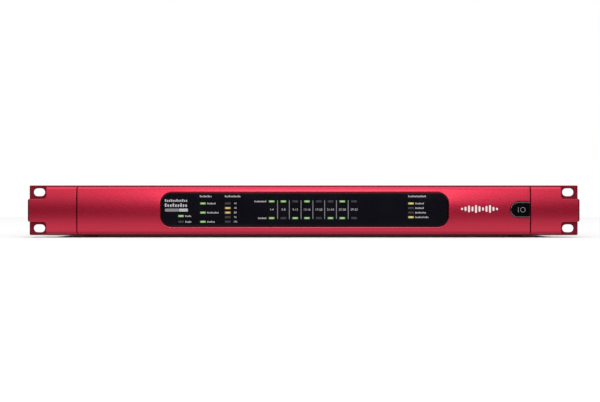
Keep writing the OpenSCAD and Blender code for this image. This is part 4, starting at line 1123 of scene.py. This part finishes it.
KEPT = [
    (ZINC, "front_panel_screws", "switch_bracket", "termination_switch", "board_screws"),
    (BLACK_PLASTIC, "light_pipe_holder", "power_switch", "bnc_housings"),
    (FAN_PLASTIC, "fan_frames", "fan_rotor_front", "fan_rotor_rear"),
    (GREEN_BOARD, "display_board", "main_board"), (BLUE_BOARD, "power_supply_boards"),
    (CHIP, "board_components"), (TAPE, "power_supply_components"), (LED_BODY, "display_leds"),
    (FUSE_GLASS, "fuse_a", "fuse_b"), (RUBBER, "lens_gasket"), (WHITE_PLASTIC, "power_button_stem"),
    (BARE_ALUMINIUM, "processor_heatsink"), (BRASS, "board_standoffs"), (RIBBON, "ribbon_cable"),
    (LEADS, "power_leads"),
]


def finish_kept_nodes():
    for material, *nodes in KEPT:
        for node in nodes:
            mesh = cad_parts[node].data
            mesh.materials.clear()
            mesh.materials.append(material)


# ---------- Stage ----------

CAMERA_AWAY = 1300
CAMERA_X, CAMERA_RISE = -3.2, 8.15
LENS_MM = 89.3


def make_camera():
    data = bpy.data.cameras.new("camera")
    data.lens = LENS_MM
    camera = add_object("camera", data)
    camera.location = Vector((CAMERA_X, Y_CREST - CAMERA_AWAY, Z_MID + CAMERA_RISE)) * MM
    camera.rotation_euler = (math.pi / 2, 0, 0)
    bpy.context.scene.camera = camera


def soft_box(name, place, target, size, radiance):
    """An area light whose power gives its face this radiance."""
    data = bpy.data.lights.new(name, "AREA")
    data.shape = "RECTANGLE"
    data.size, data.size_y = size
    data.energy = radiance * math.pi * size[0] * size[1]
    light = add_object(name, data)
    light.location = place
    light.rotation_euler = (Vector(target) - Vector(place)).to_track_quat("-Z", "Y").to_euler()
    return light


def make_floor():
    mesh = bpy.data.meshes.new("floor")
    half = 1.5
    mesh.from_pydata([(-half, -half, 0), (half, -half, 0), (half, half, 0), (-half, half, 0)], [],
                     [(0, 1, 2, 3)])
    floor = add_object("floor", mesh)
    paper = surface("white_paper", (0.965, 0.965, 0.965), (0.7, 0.9), grain=200, mottle=0,
                    bump=(0.02, 0.1), specular=0.1)
    mesh.materials.append(paper)
    floor.visible_glossy = False


# Brightness of the room at each elevation in degrees, as a share of the strengths below
ROOM = [(-90, 0.34), (-60, 0.36), (-40, 0.43), (-22, 0.46), (-14, 0.50), (-9, 0.42), (-5, 0.12),
        (-1, 0.02), (3, 0.04), (7, 0.25), (12, 0.42), (20, 0.47), (35, 0.50), (58, 0.46), (72, 0.60),
        (82, 0.96), (90, 1.06)]
ROOM_FRONT, ROOM_BACK = 1.55, 0.9


def make_world():
    """White to the camera. To everything else, a room that is dark at eye level and bright overhead."""
    world = bpy.data.worlds.new("studio")
    bpy.context.scene.world = world
    n = Nodes(world)
    n.tree.nodes.clear()
    place = n.add("ShaderNodeTexCoord")
    split = n.add("ShaderNodeSeparateXYZ")
    n.link(place.outputs["Generated"], split.inputs[0])
    ramp = n.add("ShaderNodeValToRGB")
    while len(ramp.color_ramp.elements) < len(ROOM):
        ramp.color_ramp.elements.new(0.5)
    for element, (elevation, level) in zip(ramp.color_ramp.elements, ROOM):
        element.position = (math.sin(math.radians(elevation)) + 1) / 2
        element.color = (level, level, level, 1)
    rise = n.add("ShaderNodeMapRange", From_Min=-1)
    n.link(split.outputs["Z"], rise.inputs["Value"])
    n.link(rise.outputs["Result"], ramp.inputs["Fac"])
    room = n.add("ShaderNodeBackground")
    n.link(ramp.outputs["Color"], room.inputs["Color"])
    front = n.add("ShaderNodeMapRange", From_Min=-0.4, From_Max=0.5, To_Min=ROOM_FRONT, To_Max=ROOM_BACK)
    n.link(split.outputs["Y"], front.inputs["Value"])
    n.link(front.outputs["Result"], room.inputs["Strength"])
    white = n.add("ShaderNodeBackground", Color=(1, 1, 1, 1))
    ray = n.add("ShaderNodeLightPath")
    mix = n.add("ShaderNodeMixShader")
    n.link(ray.outputs["Is Camera Ray"], mix.inputs["Fac"])
    n.link(room.outputs[0], mix.inputs[1])
    n.link(white.outputs[0], mix.inputs[2])
    out = n.add("ShaderNodeOutputWorld")
    n.link(mix.outputs[0], out.inputs["Surface"])


def make_lights():
    overhead = soft_box("overhead", (0, -1.2, 5.0), (0, -1.2, 0), (8, 6.8), 1.15)
    overhead.visible_glossy = False  # reflections from above show the room instead
    soft_box("front", (0.03, -1.95, 0.50), (0, -0.1, 0.02), (0.56, 0.58), 2.15)


make_camera()
make_world()
make_lights()
make_floor()
make_fascia()
make_end_cap(1, "end_cap_right", "right_end_cap")
make_end_cap(-1, "end_cap_left", "left_end_cap")
make_rack_plate()
make_lens()
make_lamps()
make_window_print()
make_fascia_mark()
make_button()
make_spring()
make_tray()
make_cover()
make_rear_panel()
make_feet()
make_screws()
make_inlets()
make_fuse_drawer("fuse_drawer_a", "fuse_drawer_1")
make_fuse_drawer("fuse_drawer_b", "fuse_drawer_2")
make_network_jacks()
make_latch("network_latch_1", "latch_1")
make_latch("network_latch_2", "latch_2")
make_bncs()
make_links()
make_small_controls()
make_rear_print()
finish_kept_nodes()

bpy.context.scene.view_settings.view_transform = "Standard"
bpy.context.view_layer.update()
